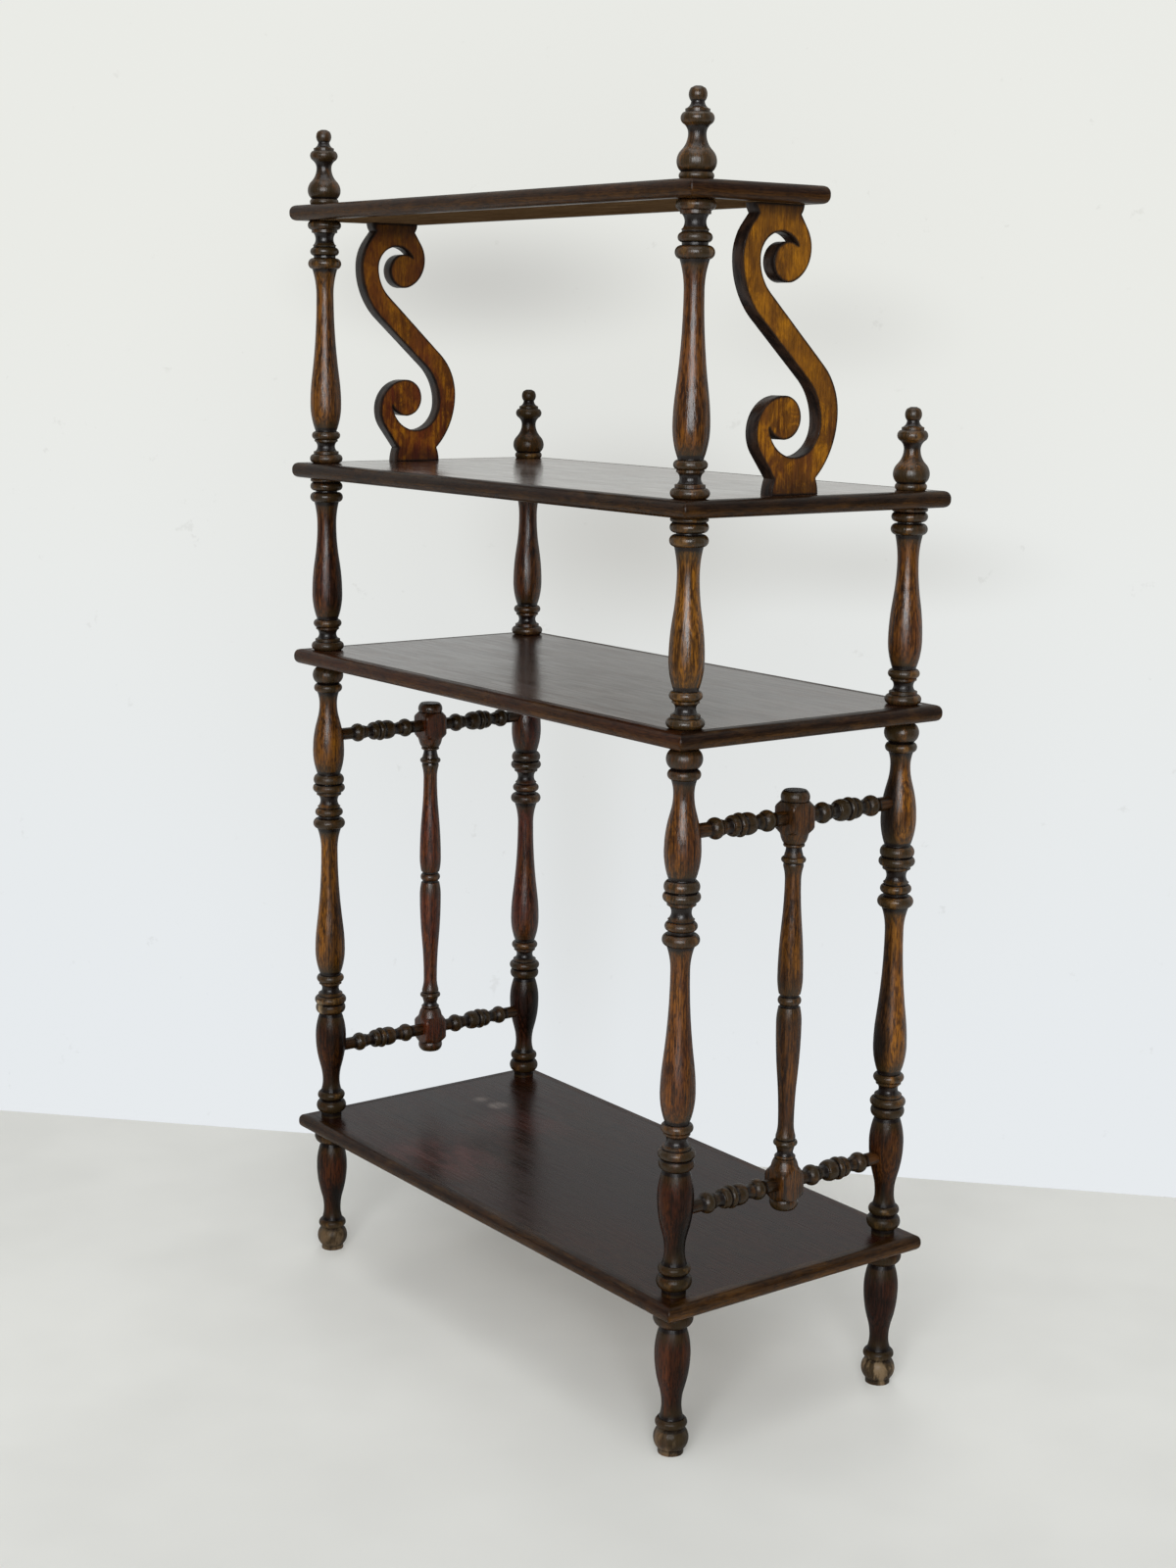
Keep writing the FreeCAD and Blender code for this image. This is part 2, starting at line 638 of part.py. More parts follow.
def draw_turned(sketch, base, moulding, tenon, socket):
    """Half-section of a turned piece, closed along the axis.

    base is the height of its seat; tenon is (radius, length) below it or None; socket is
    (radius, depth) down from its top or None.
    """
    drawing = Drawing(sketch)
    start, links = moulding
    path = []
    bottom = base
    if tenon:
        bottom = base - tenon[1]
        path.append(("step", None, tenon[0] - d.tenon_chamfer, None))
        path.append(("line", d.tenon_chamfer, tenon[0], None))
        path.append(("line", tenon[1] - d.tenon_chamfer, tenon[0], None))
    path.append(("step", None, start, None))
    path.extend(links)
    if socket:
        path.append(("step", None, socket[0], None))
        path.append(("line", socket[1] * -1, socket[0], None))
    path.append(("step", None, ZERO, None))
    here = (ZERO, bottom)
    previous = None
    for kind, length, radius, peak in path:
        there = (radius, here[1] if length is None else here[1] + length)
        shape, first, last, arc_radius = link_shape(drawing, kind, here, there, peak)
        if previous is None:
            drawing.place(shape, first, ZERO, bottom)
            opening = (shape, first)
        else:
            drawing.rule("Coincident", previous[0], previous[1], shape, first)
        if kind == "step":
            drawing.rule("Horizontal", shape)
        elif length.value > 0:
            drawing.measure(length, "DistanceY", shape, first, shape, last)
        else:
            drawing.measure(length * -1, "DistanceY", shape, last, shape, first)
        if radius.value == 0:
            drawing.rule("PointOnObject", shape, last, -2)
        else:
            drawing.measure(radius, "DistanceX", -1, 1, shape, last)
        if arc_radius is not None:
            drawing.measure(arc_radius, "Radius", shape)
        previous = (shape, last)
        here = there
    axis = drawing.line((0, here[1].value), (0, bottom.value))
    drawing.rule("Coincident", previous[0], previous[1], axis, 1)
    drawing.rule("Coincident", axis, 2, opening[0], opening[1])
    drawing.finish()


def turned_body(label, base, moulding, tenon=None, socket=None):
    """A turned piece as one revolved body with its axis along Z."""
    body = body_named(label)
    sketch = sketch_on(body, "XZ_Plane", label + "_profile")
    draw_turned(sketch, base, moulding, tenon, socket)
    turning = body.newObject("PartDesign::Revolution", label + "_turning")
    turning.Profile = sketch
    turning.ReferenceAxis = (sketch, ["V_Axis"])
    turning.Angle = 360
    return body


def pocket(body, sketch, name, depth=None, reverse=False, both=False):
    """Cut a sketch out of a body: to the Size depth, or right through."""
    cut = body.newObject("PartDesign::Pocket", name)
    cut.Profile = sketch
    if depth is None:
        cut.Type = "ThroughAll"
    else:
        cut.setExpression("Length", depth.text)
    cut.Reversed = reverse
    cut.Midplane = both
    return cut


def circles(sketch, spots, radius):
    """Circles of one radius at (across, up) Sizes."""
    drawing = Drawing(sketch)
    for across, up in spots:
        shape = drawing.circle((across.value, up.value), radius.value)
        drawing.place(shape, 3, across, up)
        drawing.measure(radius, "Radius", shape)
    drawing.finish()


def polygon(drawing, corners):
    """Closed polygon through (across, up) Sizes."""
    count = len(corners)
    first = len(drawing.shapes)
    for index in range(count):
        here, there = corners[index], corners[(index + 1) % count]
        drawing.line((here[0].value, here[1].value), (there[0].value, there[1].value))
    for index in range(count):
        drawing.rule("Coincident", first + index, 2, first + (index + 1) % count, 1)
        drawing.place(first + index, 1, *corners[index])


def rectangle(drawing, length, depth):
    """Rectangle centred on the sketch origin."""
    across, up = length / 2, depth / 2
    left, down = across * -1, up * -1
    polygon(drawing, [(left, down), (across, down), (across, up), (left, up)])


def put(body, x, y, z, rotation=None):
    """Place a body at three Sizes, bound to the sheet."""
    body.Placement = Placement(Vector(x.value, y.value, z.value), rotation or Rotation())
    for axis, size in zip("xyz", (x, y, z)):
        body.setExpression("Placement.Base." + axis, size.text)


half_long = d.post_pitch_long / 2
half_short = d.post_pitch_short / 2
full_length = derived("full_length", d.post_pitch_long + d.shelf_overhang * 2)
full_depth = derived("full_depth", d.post_pitch_short + d.shelf_overhang * 2)
top_middle = derived("top_middle", half_short + d.shelf_overhang - d.top_shelf_depth / 2)
about_z = Vector(0, 0, 1)

# Turned posts and finials ------------------------------------------------------------------
tenon = (d.tenon_radius, derived("tenon_length", d.shelf_thickness + d.tenon_depth))
socket = (d.tenon_radius + d.fit, d.tenon_depth + d.socket_spare)
hole_floor = derived("hole_floor", d.rail_stop - d.socket_spare)

for corner, (east, north) in POST_CORNERS.items():
    x, y = half_long * east, half_short * north
    facing = Rotation(about_z, 0 if north > 0 else 180)
    foot = turned_body("foot_" + corner, ZERO, foot_moulding, socket=socket)
    put(foot, x, y, ZERO, facing)

    column = turned_body("lower_column_" + corner, ZERO, lower_moulding, tenon, socket)
    holes = sketch_on(column, "XZ_Plane", "stretcher_hole_sketch", hole_floor)
    circles(holes, [(ZERO, low_hole), (ZERO, high_hole)], d.rail_radius + d.fit)
    pocket(column, holes, "stretcher_holes", reverse=True)
    put(column, x, y, shelf_levels["bottom"] + d.shelf_thickness, facing)

    column = turned_body("middle_column_" + corner, ZERO, middle_moulding, tenon, socket)
    put(column, x, y, shelf_levels["second"] + d.shelf_thickness, facing)

    finial_level = shelf_levels["third"]
    if north > 0:
        column = turned_body("upper_column_" + corner, ZERO, upper_moulding, tenon, socket)
        put(column, x, y, shelf_levels["third"] + d.shelf_thickness, facing)
        finial_level = shelf_levels["top"]
    finial = turned_body("finial_" + corner, ZERO, finial_moulding, tenon)
    put(finial, x, y, finial_level + d.shelf_thickness, facing)

# Side spindles and their stretchers --------------------------------------------------------
spindle_middle = (low_hole + high_hole) / 2
block_height = (high_hole - low_hole) / 2
plain_end = half_short - d.rail_stop - d.block_side / 2 - d.rail_plain_length
plain_end = derived("plain_end", plain_end - height_of(rail_moulding))
stretcher_moulding = joined(
    band(d.rail_plain_length, d.rail_radius),
    rail_moulding,
    band(plain_end, d.rail_radius),
)
for side, east in SIDES.items():
    spindle = turned_body("side_spindle_" + side, height_of(spindle_moulding) / -2,
                          spindle_moulding)
    square = sketch_on(spindle, "XY_Plane", "square_sketch")
    drawing = Drawing(square)
    rectangle(drawing, d.block_side * 3, d.block_side * 3)
    rectangle(drawing, d.block_side, d.block_side)
    drawing.finish()
    pocket(spindle, square, "square_block", both=True)
    holes = sketch_on(spindle, "XZ_Plane", "block_hole_sketch")
    circles(holes, [(ZERO, block_height), (ZERO, block_height * -1)],
            d.rail_tenon_radius + d.fit)
    pocket(spindle, holes, "block_holes", both=True)
    level = shelf_levels["bottom"] + d.shelf_thickness
    put(spindle, half_long * east, ZERO, level + spindle_middle)
    for height, hole in (("low", low_hole), ("high", high_hole)):
        for end, north in (("rear", 1), ("front", -1)):
            rail = turned_body("stretcher_%s_%s_%s" % (side, height, end), ZERO,
                               stretcher_moulding, (d.rail_tenon_radius, d.rail_tenon_length))
            put(rail, half_long * east, d.block_side / (2 * north), level + hole,
                Rotation(Vector(1, 0, 0), -90 * north))

# Shelves -----------------------------------------------------------------------------------
panel_gap = d.strip_width * 2
tongue_level = (d.shelf_thickness - d.tongue_thickness) / 2
dowel_hole = d.dowel_radius + d.fit
pad_back = half_short + d.shelf_overhang - d.top_shelf_depth + d.pad_width / 2
setbacks = {"right": d.scroll_setback_right, "left": d.scroll_setback_left}
insets = {"right": d.pad_inset_right, "left": d.pad_inset_left}
leans = {side: derived("scroll_lean_" + side, pad_back + insets[side] - setbacks[side])
         for side in SIDES}


def dowel_spots(shelf):
    """Places of the dowels in the third or top shelf as (x, y)."""
    spots = []
    for side, east in SIDES.items():
        middle = setbacks[side] + leans[side] if shelf == "top" else setbacks[side]
        spots += [(half_long * east, middle - d.dowel_pitch / 2),
                  (half_long * east, middle + d.dowel_pitch / 2)]
    return spots


def shelf_panel(shelf, length, depth, middle, posts):
    """Flat panel with a tongue all round and a hole for each post tenon."""
    body = body_named(shelf + "_shelf_panel")
    board = sketch_on(body, "XY_Plane", shelf + "_board_sketch")
    drawing = Drawing(board)
    rectangle(drawing, length - panel_gap, depth - panel_gap)
    drawing.finish()
    pad = body.newObject("PartDesign::Pad", "board")
    pad.Profile = board
    pad.setExpression("Length", d.shelf_thickness.text)
    edge = sketch_on(body, "XY_Plane", shelf + "_tongue_sketch", tongue_level)
    drawing = Drawing(edge)
    rectangle(drawing, length - panel_gap + d.tongue_length * 2,
              depth - panel_gap + d.tongue_length * 2)
    drawing.finish()
    pad = body.newObject("PartDesign::Pad", "tongue")
    pad.Profile = edge
    pad.setExpression("Length", d.tongue_thickness.text)
    holes = sketch_on(body, "XY_Plane", shelf + "_post_hole_sketch")
    spots = [(half_long * east, half_short * north - middle)
             for east, north in POST_CORNERS.values() if north in posts]
    circles(holes, spots, d.tenon_radius + d.fit)
    pocket(body, holes, "post_holes", both=True)
    if shelf in ("third", "top"):
        upward = shelf == "top"
        level = None if upward else d.shelf_thickness
        holes = sketch_on(body, "XY_Plane", shelf + "_dowel_hole_sketch", level)
        circles(holes, [(x, y - middle) for x, y in dowel_spots(shelf)], dowel_hole)
        pocket(body, holes, "dowel_holes", d.dowel_depth_shelf + d.socket_spare, upward)
    put(body, ZERO, middle, shelf_levels[shelf])


def edge_strip(shelf, side, length, x, y, angle):
    """Strip with a rounded nose, a groove for the tongue and mitred ends."""
    body = body_named("%s_shelf_strip_%s" % (shelf, side))
    section = sketch_on(body, "YZ_Plane", "section_sketch")
    nose = (d.shelf_thickness - d.nose_flat) / 2
    shoulder = d.strip_width - nose
    depth = d.tongue_length + d.fit
    groove_low = tongue_level - d.fit
    groove_high = tongue_level + d.tongue_thickness + d.fit
    corners = [
        (ZERO, ZERO), (shoulder, ZERO), (d.strip_width, nose),
        (d.strip_width, nose + d.nose_flat), (shoulder, d.shelf_thickness),
        (ZERO, d.shelf_thickness), (ZERO, groove_high), (depth, groove_high),
        (depth, groove_low), (ZERO, groove_low),
    ]
    drawing = Drawing(section)
    for index, (across, up) in enumerate(corners):
        beyond = corners[(index + 1) % len(corners)]
        start, end = (across.value, up.value), (beyond[0].value, beyond[1].value)
        if index in (1, 3):
            level = nose.value if index == 1 else (nose + d.nose_flat).value
            drawing.arc(start, end, (shoulder.value, level), 1)
            drawing.measure(nose, "Radius", index)
        else:
            drawing.line(start, end)
    for index, (across, up) in enumerate(corners):
        drawing.rule("Coincident", index, 2, (index + 1) % len(corners), 1)
        drawing.place(index, 1, across, up)
    drawing.finish()
    pad = body.newObject("PartDesign::Pad", "strip")
    pad.Profile = section
    pad.setExpression("Length", length.text)
    pad.Midplane = True
    ends = sketch_on(body, "XY_Plane", "mitre_sketch")
    reach = length / 2
    spare = d.socket_spare
    drawing = Drawing(ends)
    for way in (1, -1):
        polygon(drawing, [
            ((reach - d.strip_width - spare) * way, spare * -1),
            ((reach + spare) * way, d.strip_width + spare),
            ((reach + spare) * way, spare * -1),
        ])
    drawing.finish()
    pocket(body, ends, "mitres", both=True)
    put(body, x, y, shelf_levels[shelf], Rotation(about_z, angle))


for shelf in shelf_levels:
    half_depth_shelf = shelf == "top"
    depth = d.top_shelf_depth if half_depth_shelf else full_depth
    middle = top_middle if half_depth_shelf else ZERO
    shelf_panel(shelf, full_length, depth, middle, (1,) if half_depth_shelf else (1, -1))
    inner_x = full_length / 2 - d.strip_width
    inner_y = depth / 2 - d.strip_width
    edge_strip(shelf, "rear", full_length, ZERO, middle + inner_y, 0)
    edge_strip(shelf, "front", full_length, ZERO, middle - inner_y, 180)
    edge_strip(shelf, "right", depth, inner_x, middle, -90)
    edge_strip(shelf, "left", depth, inner_x * -1, middle, 90)

# Scrolls -----------------------------------------------------------------------------------
# The outline lies in the YZ plane: y runs backwards from the middle of the lower pad.


def sine(size):
    return Size(math.sin(math.radians(size.value)), "sin(" + size.text + ")")


def polar(centre, radius, angle):
    """Point at an angle in radians on a circle about a plain (y, z) centre."""
    return (centre[0] + radius * math.cos(angle), centre[1] + radius * math.sin(angle))


def touch(point, centre, radius, way):
    """Where a line from a point touches a circle, and the joint there; way chooses the side."""
    across, up = point[0] - centre[0], point[1] - centre[1]
    ratio = radius / math.hypot(across, up)
    spread = math.acos(min(1.0, ratio))
    joint = "Tangent" if ratio < 1 else "Coincident"
    return polar(centre, radius, math.atan2(up, across) + way * spread), joint


def crossing_line(low, low_radius, high, high_radius):
    """Line between two circles, touching the front of the low one and the rear of the high."""
    across, up = high[0] - low[0], high[1] - low[1]
    angle = math.atan2(up, across)
    angle += math.acos(min(1.0, (low_radius + high_radius) / math.hypot(across, up)))
    return polar(low, low_radius, angle), polar(high, -high_radius, angle)


def meeting(first, first_radius, second, second_radius, upper):
    """Upper or lower point where two circles cross."""
    across, up = second[0] - first[0], second[1] - first[1]
    apart = math.hypot(across, up)
    along = (first_radius ** 2 - second_radius ** 2 + apart ** 2) / (2 * apart)
    swing = math.acos(max(-1.0, min(1.0, along / first_radius)))
    base = math.atan2(up, across)
    spots = [polar(first, first_radius, base + way * swing) for way in (1, -1)]
    return max(spots, key=lambda spot: spot[1] if upper else -spot[1])


def plain(point):
    return (number(point[0]), number(point[1]))


def volute_centre(eye, eye_radius, outer_radius, angle, way):
    """Centre of the outer curve that touches the eye: behind it, above or below."""
    lean = math.radians(angle.value)
    reach = outer_radius.value - eye_radius.value
    return (eye[0].value + reach * math.sin(lean), eye[1].value + way * reach * math.cos(lean))


def draw_scroll(sketch, lean):
    """Closed outline of the scroll: front edge upwards, then rear edge downwards.

    lean is the middle of the upper pad behind the middle of the lower pad.
    """
    top = scroll_height
    half_pad = d.pad_width / 2
    half_waist = half_pad - d.pad_flare
    low_front = (d.lower_front * -1, d.lower_front_height)
    low_throat = (d.lower_throat * -1, d.lower_throat_height)
    high_rear = (lean + d.upper_rear, top - d.upper_rear_depth)
    high_throat = (lean + d.upper_throat, top - d.upper_throat_depth)
    low_eye = (d.lower_eye_behind, d.lower_eye_height)
    high_eye = (lean - d.upper_eye_before, top - d.upper_eye_depth)
    pads = [(half_pad * -1, ZERO), (lean - half_pad, top), (lean + half_pad, top),
            (half_pad, ZERO)]
    waists = [(half_waist * -1, d.lower_waist_height),
              (lean - half_waist, top - d.upper_waist_depth),
              (lean + half_waist, top - d.upper_waist_depth),
              (half_waist, d.lower_waist_height)]

    def beside(point, radius, way):
        return (point[0].value + way * radius.value, point[1].value)

    def pad_side(pad, waist, way):
        """Side of a pad: upright at the shelf and rounded in to the waist."""
        drop, width = pad[1].value - waist[1].value, d.pad_flare.value
        radius = (drop ** 2 + width ** 2) / (2 * width)
        return ((pad[0].value + way * radius, pad[1].value), None, -1)

    front_low = beside(low_front, d.lower_front_radius, 1)
    front_arm = beside(low_front, d.lower_arm_radius, 1)
    inner_high = beside(high_throat, d.upper_inner_radius, -1)
    throat_high = beside(high_throat, d.upper_throat_radius, -1)
    rear_high = beside(high_rear, d.upper_rear_radius, -1)
    rear_arm = beside(high_rear, d.upper_arm_radius, -1)
    inner_low = beside(low_throat, d.lower_inner_radius, 1)
    throat_low = beside(low_throat, d.lower_throat_radius, 1)
    volute_high = volute_centre(high_eye, d.upper_eye_radius, d.upper_volute_radius,
                                d.upper_volute_angle, 1)
    volute_low = volute_centre(low_eye, d.lower_eye_radius, d.lower_volute_radius,
                               d.lower_volute_angle, -1)
    front_line = crossing_line(front_arm, d.lower_arm_radius.value,
                               inner_high, d.upper_inner_radius.value)
    rear_line = crossing_line(inner_low, d.lower_inner_radius.value,
                              rear_arm, d.upper_arm_radius.value)
    notch_high = meeting(plain(high_eye), d.upper_eye_radius.value,
                         throat_high, d.upper_throat_radius.value, True)
    notch_low = meeting(plain(low_eye), d.lower_eye_radius.value,
                        throat_low, d.lower_throat_radius.value, False)
    high_lean = math.radians(d.upper_volute_angle.value)
    low_lean = math.radians(d.lower_volute_angle.value)
    high_contact = polar(plain(high_eye), d.upper_eye_radius.value,
                         -math.pi / 2 - high_lean)
    low_contact = polar(plain(low_eye), d.lower_eye_radius.value, math.pi / 2 + low_lean)
    touches = [
        touch(plain(waists[0]), front_low, d.lower_front_radius.value, -1),
        touch(plain(waists[1]), volute_high, d.upper_volute_radius.value, 1),
        touch(plain(waists[2]), rear_high, d.upper_rear_radius.value, -1),
        touch(plain(waists[3]), volute_low, d.lower_volute_radius.value, 1),
    ]

    # Each entry: end point, joint to the next piece, and centre, radius and turn of an arc;
    # the radius is None where the ends of the arc already fix it.
    smooth, sharp = "Tangent", "Coincident"
    outline = [
        (plain(waists[0]), sharp, pad_side(pads[0], waists[0], 1)),
        (*touches[0], None),
        (plain(low_front), smooth, (front_low, d.lower_front_radius, -1)),
        (front_line[0], smooth, (front_arm, d.lower_arm_radius, -1)),
        (front_line[1], smooth, None),
        (plain(high_throat), smooth, (inner_high, d.upper_inner_radius, 1)),
        (notch_high, sharp, (throat_high, d.upper_throat_radius, 1)),
        (high_contact, smooth, (plain(high_eye), d.upper_eye_radius, -1)),
        (*touches[1], (volute_high, d.upper_volute_radius, -1)),
        (plain(waists[1]), sharp, None),
        (plain(pads[1]), sharp, pad_side(pads[1], waists[1], 1)),
        (plain(pads[2]), sharp, None),
        (plain(waists[2]), sharp, pad_side(pads[2], waists[2], -1)),
        (*touches[2], None),
        (plain(high_rear), smooth, (rear_high, d.upper_rear_radius, -1)),
        (rear_line[1], smooth, (rear_arm, d.upper_arm_radius, -1)),
        (rear_line[0], smooth, None),
        (plain(low_throat), smooth, (inner_low, d.lower_inner_radius, 1)),
        (notch_low, sharp, (throat_low, d.lower_throat_radius, 1)),
        (low_contact, smooth, (plain(low_eye), d.lower_eye_radius, -1)),
        (*touches[3], (volute_low, d.lower_volute_radius, -1)),
        (plain(waists[3]), sharp, None),
        (plain(pads[3]), sharp, pad_side(pads[3], waists[3], -1)),
        (plain(pads[0]), sharp, None),
    ]
    drawing = Drawing(sketch)
    ends = []
    here = plain(pads[0])
    for there, joint, arc in outline:
        if arc is None:
            drawing.line(here, there)
            ends.append((1, 2))
        else:
            centre, radius, turn = arc
            shape = drawing.arc(here, there, centre, turn)
            if radius:
                drawing.measure(radius, "Radius", shape)
            ends.append((1, 2) if turn > 0 else (2, 1))
        here = there
    count = len(outline)
    for index, (there, joint, arc) in enumerate(outline):
        beyond = (index + 1) % count
        drawing.rule(joint, index, ends[index][1], beyond, ends[beyond][0])
    for index, point in ((0, waists[0]), (9, waists[1]), (12, waists[2]), (21, waists[3]),
                         (10, pads[1]), (11, pads[2]), (22, pads[3]), (23, pads[0]),
                         (2, low_front), (5, high_throat), (14, high_rear), (17, low_throat)):
        drawing.place(index, ends[index][1], *point)
    for index in (2, 5, 14, 17, 10, 22):
        drawing.rule("Horizontal", index, 3, index, ends[index][1])
    for index in (0, 12):
        drawing.rule("Horizontal", index, 3, index, ends[index][0])
    for index, eye, outer, angle in (
            (7, high_eye, d.upper_volute_radius - d.upper_eye_radius, d.upper_volute_angle),
            (19, low_eye, d.lower_volute_radius - d.lower_eye_radius, d.lower_volute_angle)):
        drawing.place(index, 3, *eye)
        drawing.measure(outer * sine(angle), "DistanceX", index, 3, index + 1, 3)
    drawing.finish()


for side, east in SIDES.items():
    scroll = body_named("scroll_" + side)
    outline_sketch = sketch_on(scroll, "YZ_Plane", "outline_sketch")
    draw_scroll(outline_sketch, leans[side])
    pad = scroll.newObject("PartDesign::Pad", "sawn_board")
    pad.Profile = outline_sketch
    pad.setExpression("Length", d.scroll_thickness.text)
    pad.Midplane = True
    depth = d.dowel_depth_scroll + d.socket_spare
    half_pitch = d.dowel_pitch / 2
    holes = sketch_on(scroll, "XY_Plane", "low_dowel_sketch")
    circles(holes, [(ZERO, half_pitch), (ZERO, half_pitch * -1)], dowel_hole)
    pocket(scroll, holes, "low_dowel_holes", depth, True)
    holes = sketch_on(scroll, "XY_Plane", "high_dowel_sketch", scroll_height)
    circles(holes, [(ZERO, leans[side] + half_pitch), (ZERO, leans[side] - half_pitch)],
            dowel_hole)
    pocket(scroll, holes, "high_dowel_holes", depth)
    put(scroll, half_long * east, setbacks[side], shelf_levels["third"] + d.shelf_thickness)

dowels = []
for shelf in ("third", "top"):
    level = shelf_levels[shelf] - d.dowel_depth_scroll
    if shelf == "third":
        level = shelf_levels[shelf] + d.shelf_thickness - d.dowel_depth_shelf
    for x, y in dowel_spots(shelf):
        dowel = doc.addObject("Part::Cylinder", "dowel")
        dowel.setExpression("Radius", d.dowel_radius.text)
        dowel.setExpression("Height", (d.dowel_depth_scroll + d.dowel_depth_shelf).text)
        put(dowel, x, y, level)
        dowels.append(dowel)
group = doc.addObject("Part::Compound", "scroll_dowels")
group.Label = "scroll_dowels"
group.Links = dowels
nodes.append(group)

# Build, check and write --------------------------------------------------------------------
doc.recompute()
problems = []
for item in doc.Objects:
    if any(word in item.State for word in ("Invalid", "Error")):
        problems.append(item.Label + " did not compute")
for node in nodes:
    shape = node.Shape
    if shape.isNull() or not shape.isValid() or shape.Volume <= 0:
        problems.append(node.Label + " has no sound shape")
    elif node is not group and len(shape.Solids) != 1:
        problems.append(node.Label + " is not one solid")
if problems:
    raise RuntimeError("; ".join(problems))

os.makedirs("parts", exist_ok=True)
for node in nodes:
    node.Shape.exportStep("parts/" + node.Label + ".step")
print("%d nodes written" % len(nodes))
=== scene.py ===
"""Looks of the turned-wood etagere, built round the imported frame."""
import math
import random

import bpy
import numpy as np
from mathutils import Matrix, Vector, noise
from mathutils.geometry import delaunay_2d_cdt


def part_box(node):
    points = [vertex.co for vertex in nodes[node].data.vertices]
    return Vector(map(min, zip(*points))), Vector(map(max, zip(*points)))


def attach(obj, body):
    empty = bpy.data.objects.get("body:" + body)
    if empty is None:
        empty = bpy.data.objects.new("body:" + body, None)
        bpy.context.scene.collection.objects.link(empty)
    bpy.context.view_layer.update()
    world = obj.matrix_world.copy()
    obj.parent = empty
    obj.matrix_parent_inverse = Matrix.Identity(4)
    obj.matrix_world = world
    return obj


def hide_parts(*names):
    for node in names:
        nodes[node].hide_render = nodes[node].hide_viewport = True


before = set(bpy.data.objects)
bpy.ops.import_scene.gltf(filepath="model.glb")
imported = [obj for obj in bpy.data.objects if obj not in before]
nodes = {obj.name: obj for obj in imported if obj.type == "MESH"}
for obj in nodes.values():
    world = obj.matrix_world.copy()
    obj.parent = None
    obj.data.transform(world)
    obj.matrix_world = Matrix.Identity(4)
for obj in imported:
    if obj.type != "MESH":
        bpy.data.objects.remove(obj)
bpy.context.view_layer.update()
scene = bpy.context.scene

# Camera ------------------------------------------------------------------------------------
CAMERA_PLACE = (-1.93399, 1.45524, 1.03912)
CAMERA_RIGHT = Vector((-0.59719, -0.802001, 0.012556))
CAMERA_DOWN = Vector((-0.156867, 0.101426, -0.982398))
CAMERA_FORWARD = Vector((0.786611, -0.588648, -0.186378))
SENSOR_WIDTH = 36.0
LENS = 54.41
camera_data = bpy.data.cameras.new("camera")
camera_data.sensor_width = SENSOR_WIDTH
camera_data.lens = LENS
camera = bpy.data.objects.new("camera", camera_data)
axes = Matrix((CAMERA_RIGHT, -CAMERA_DOWN, -CAMERA_FORWARD)).transposed()
camera.matrix_world = Matrix.Translation(CAMERA_PLACE) @ axes.to_4x4()
scene.collection.objects.link(camera)
scene.camera = camera
scene.view_settings.view_transform = "Standard"


# Shader helpers ----------------------------------------------------------------------------
class Shader:
    """A node tree with short calls for the nodes that the wood needs."""

    def __init__(self, name):
        self.material = bpy.data.materials.new(name)
        self.material.use_nodes = True
        self.tree = self.material.node_tree
        self.tree.nodes.clear()
        self.output = self.tree.nodes.new("ShaderNodeOutputMaterial")

    def node(self, kind, inputs=None, **settings):
        made = self.tree.nodes.new("ShaderNode" + kind)
        for key, value in settings.items():
            setattr(made, key, value)
        for key, value in (inputs or {}).items():
            self.feed(made.inputs[key], value)
        return made

    def feed(self, socket, value):
        if isinstance(value, bpy.types.NodeSocket):
            self.tree.links.new(value, socket)
        elif socket.type == "RGBA" and len(value) == 3:
            socket.default_value = (*value, 1.0)
        else:
            socket.default_value = value

    def attribute(self, name):
        return self.node("Attribute", attribute_name=name).outputs["Fac"]

    def math(self, kind, first, second=0.0, clamp=False):
        made = self.node("Math", {0: first, 1: second}, operation=kind)
        made.use_clamp = clamp
        return made.outputs[0]

    def blend(self, *parts):
        """Weighted sum of sockets, each given as (weight, socket)."""
        total = None
        for weight, socket in parts:
            part = self.math("MULTIPLY", socket, weight)
            total = part if total is None else self.math("ADD", total, part)
        return total

    def remap(self, value, low, high, new_low=0.0, new_high=1.0):
        inputs = {"Value": value, "From Min": low, "From Max": high,
                  "To Min": new_low, "To Max": new_high}
        return self.node("MapRange", inputs, interpolation_type="SMOOTHSTEP").outputs[0]

    def mix(self, factor, first, second, kind="MIX"):
        made = self.node("Mix", data_type="RGBA", blend_type=kind)
        self.feed(made.inputs["Factor"], factor)
        self.feed(made.inputs[6], first)
        self.feed(made.inputs[7], second)
        return made.outputs[2]

    def scaled(self, vector, across, along):
        """The grain place with its lengthwise axis stretched by its own scale."""
        inputs = {"Vector": vector, "Scale": (across, across, along)}
        return self.node("Mapping", inputs).outputs[0]

    def noise(self, vector, scale, detail=3.0, rough=0.55, distort=0.0):
        inputs = {"Vector": vector, "Scale": scale, "Detail": detail, "Roughness": rough,
                  "Distortion": distort}
        return self.node("TexNoise", inputs).outputs["Fac"]

    def spot(self, centre, radius, soft):
        """1 inside a ball about a place on the object, falling to 0 over the soft width."""
        place = self.node("TexCoord").outputs["Object"]
        reach = self.node("VectorMath", {0: place, 1: centre}, operation="DISTANCE")
        return self.remap(reach.outputs["Value"], radius, radius + soft, 1.0, 0.0)


def linear(red, green, blue):
    """Display colour, 0 to 255, as linear light."""
    return tuple(((c / 255 + 0.055) / 1.055) ** 2.4 if c > 10 else c / 255 / 12.92
                 for c in (red, green, blue))


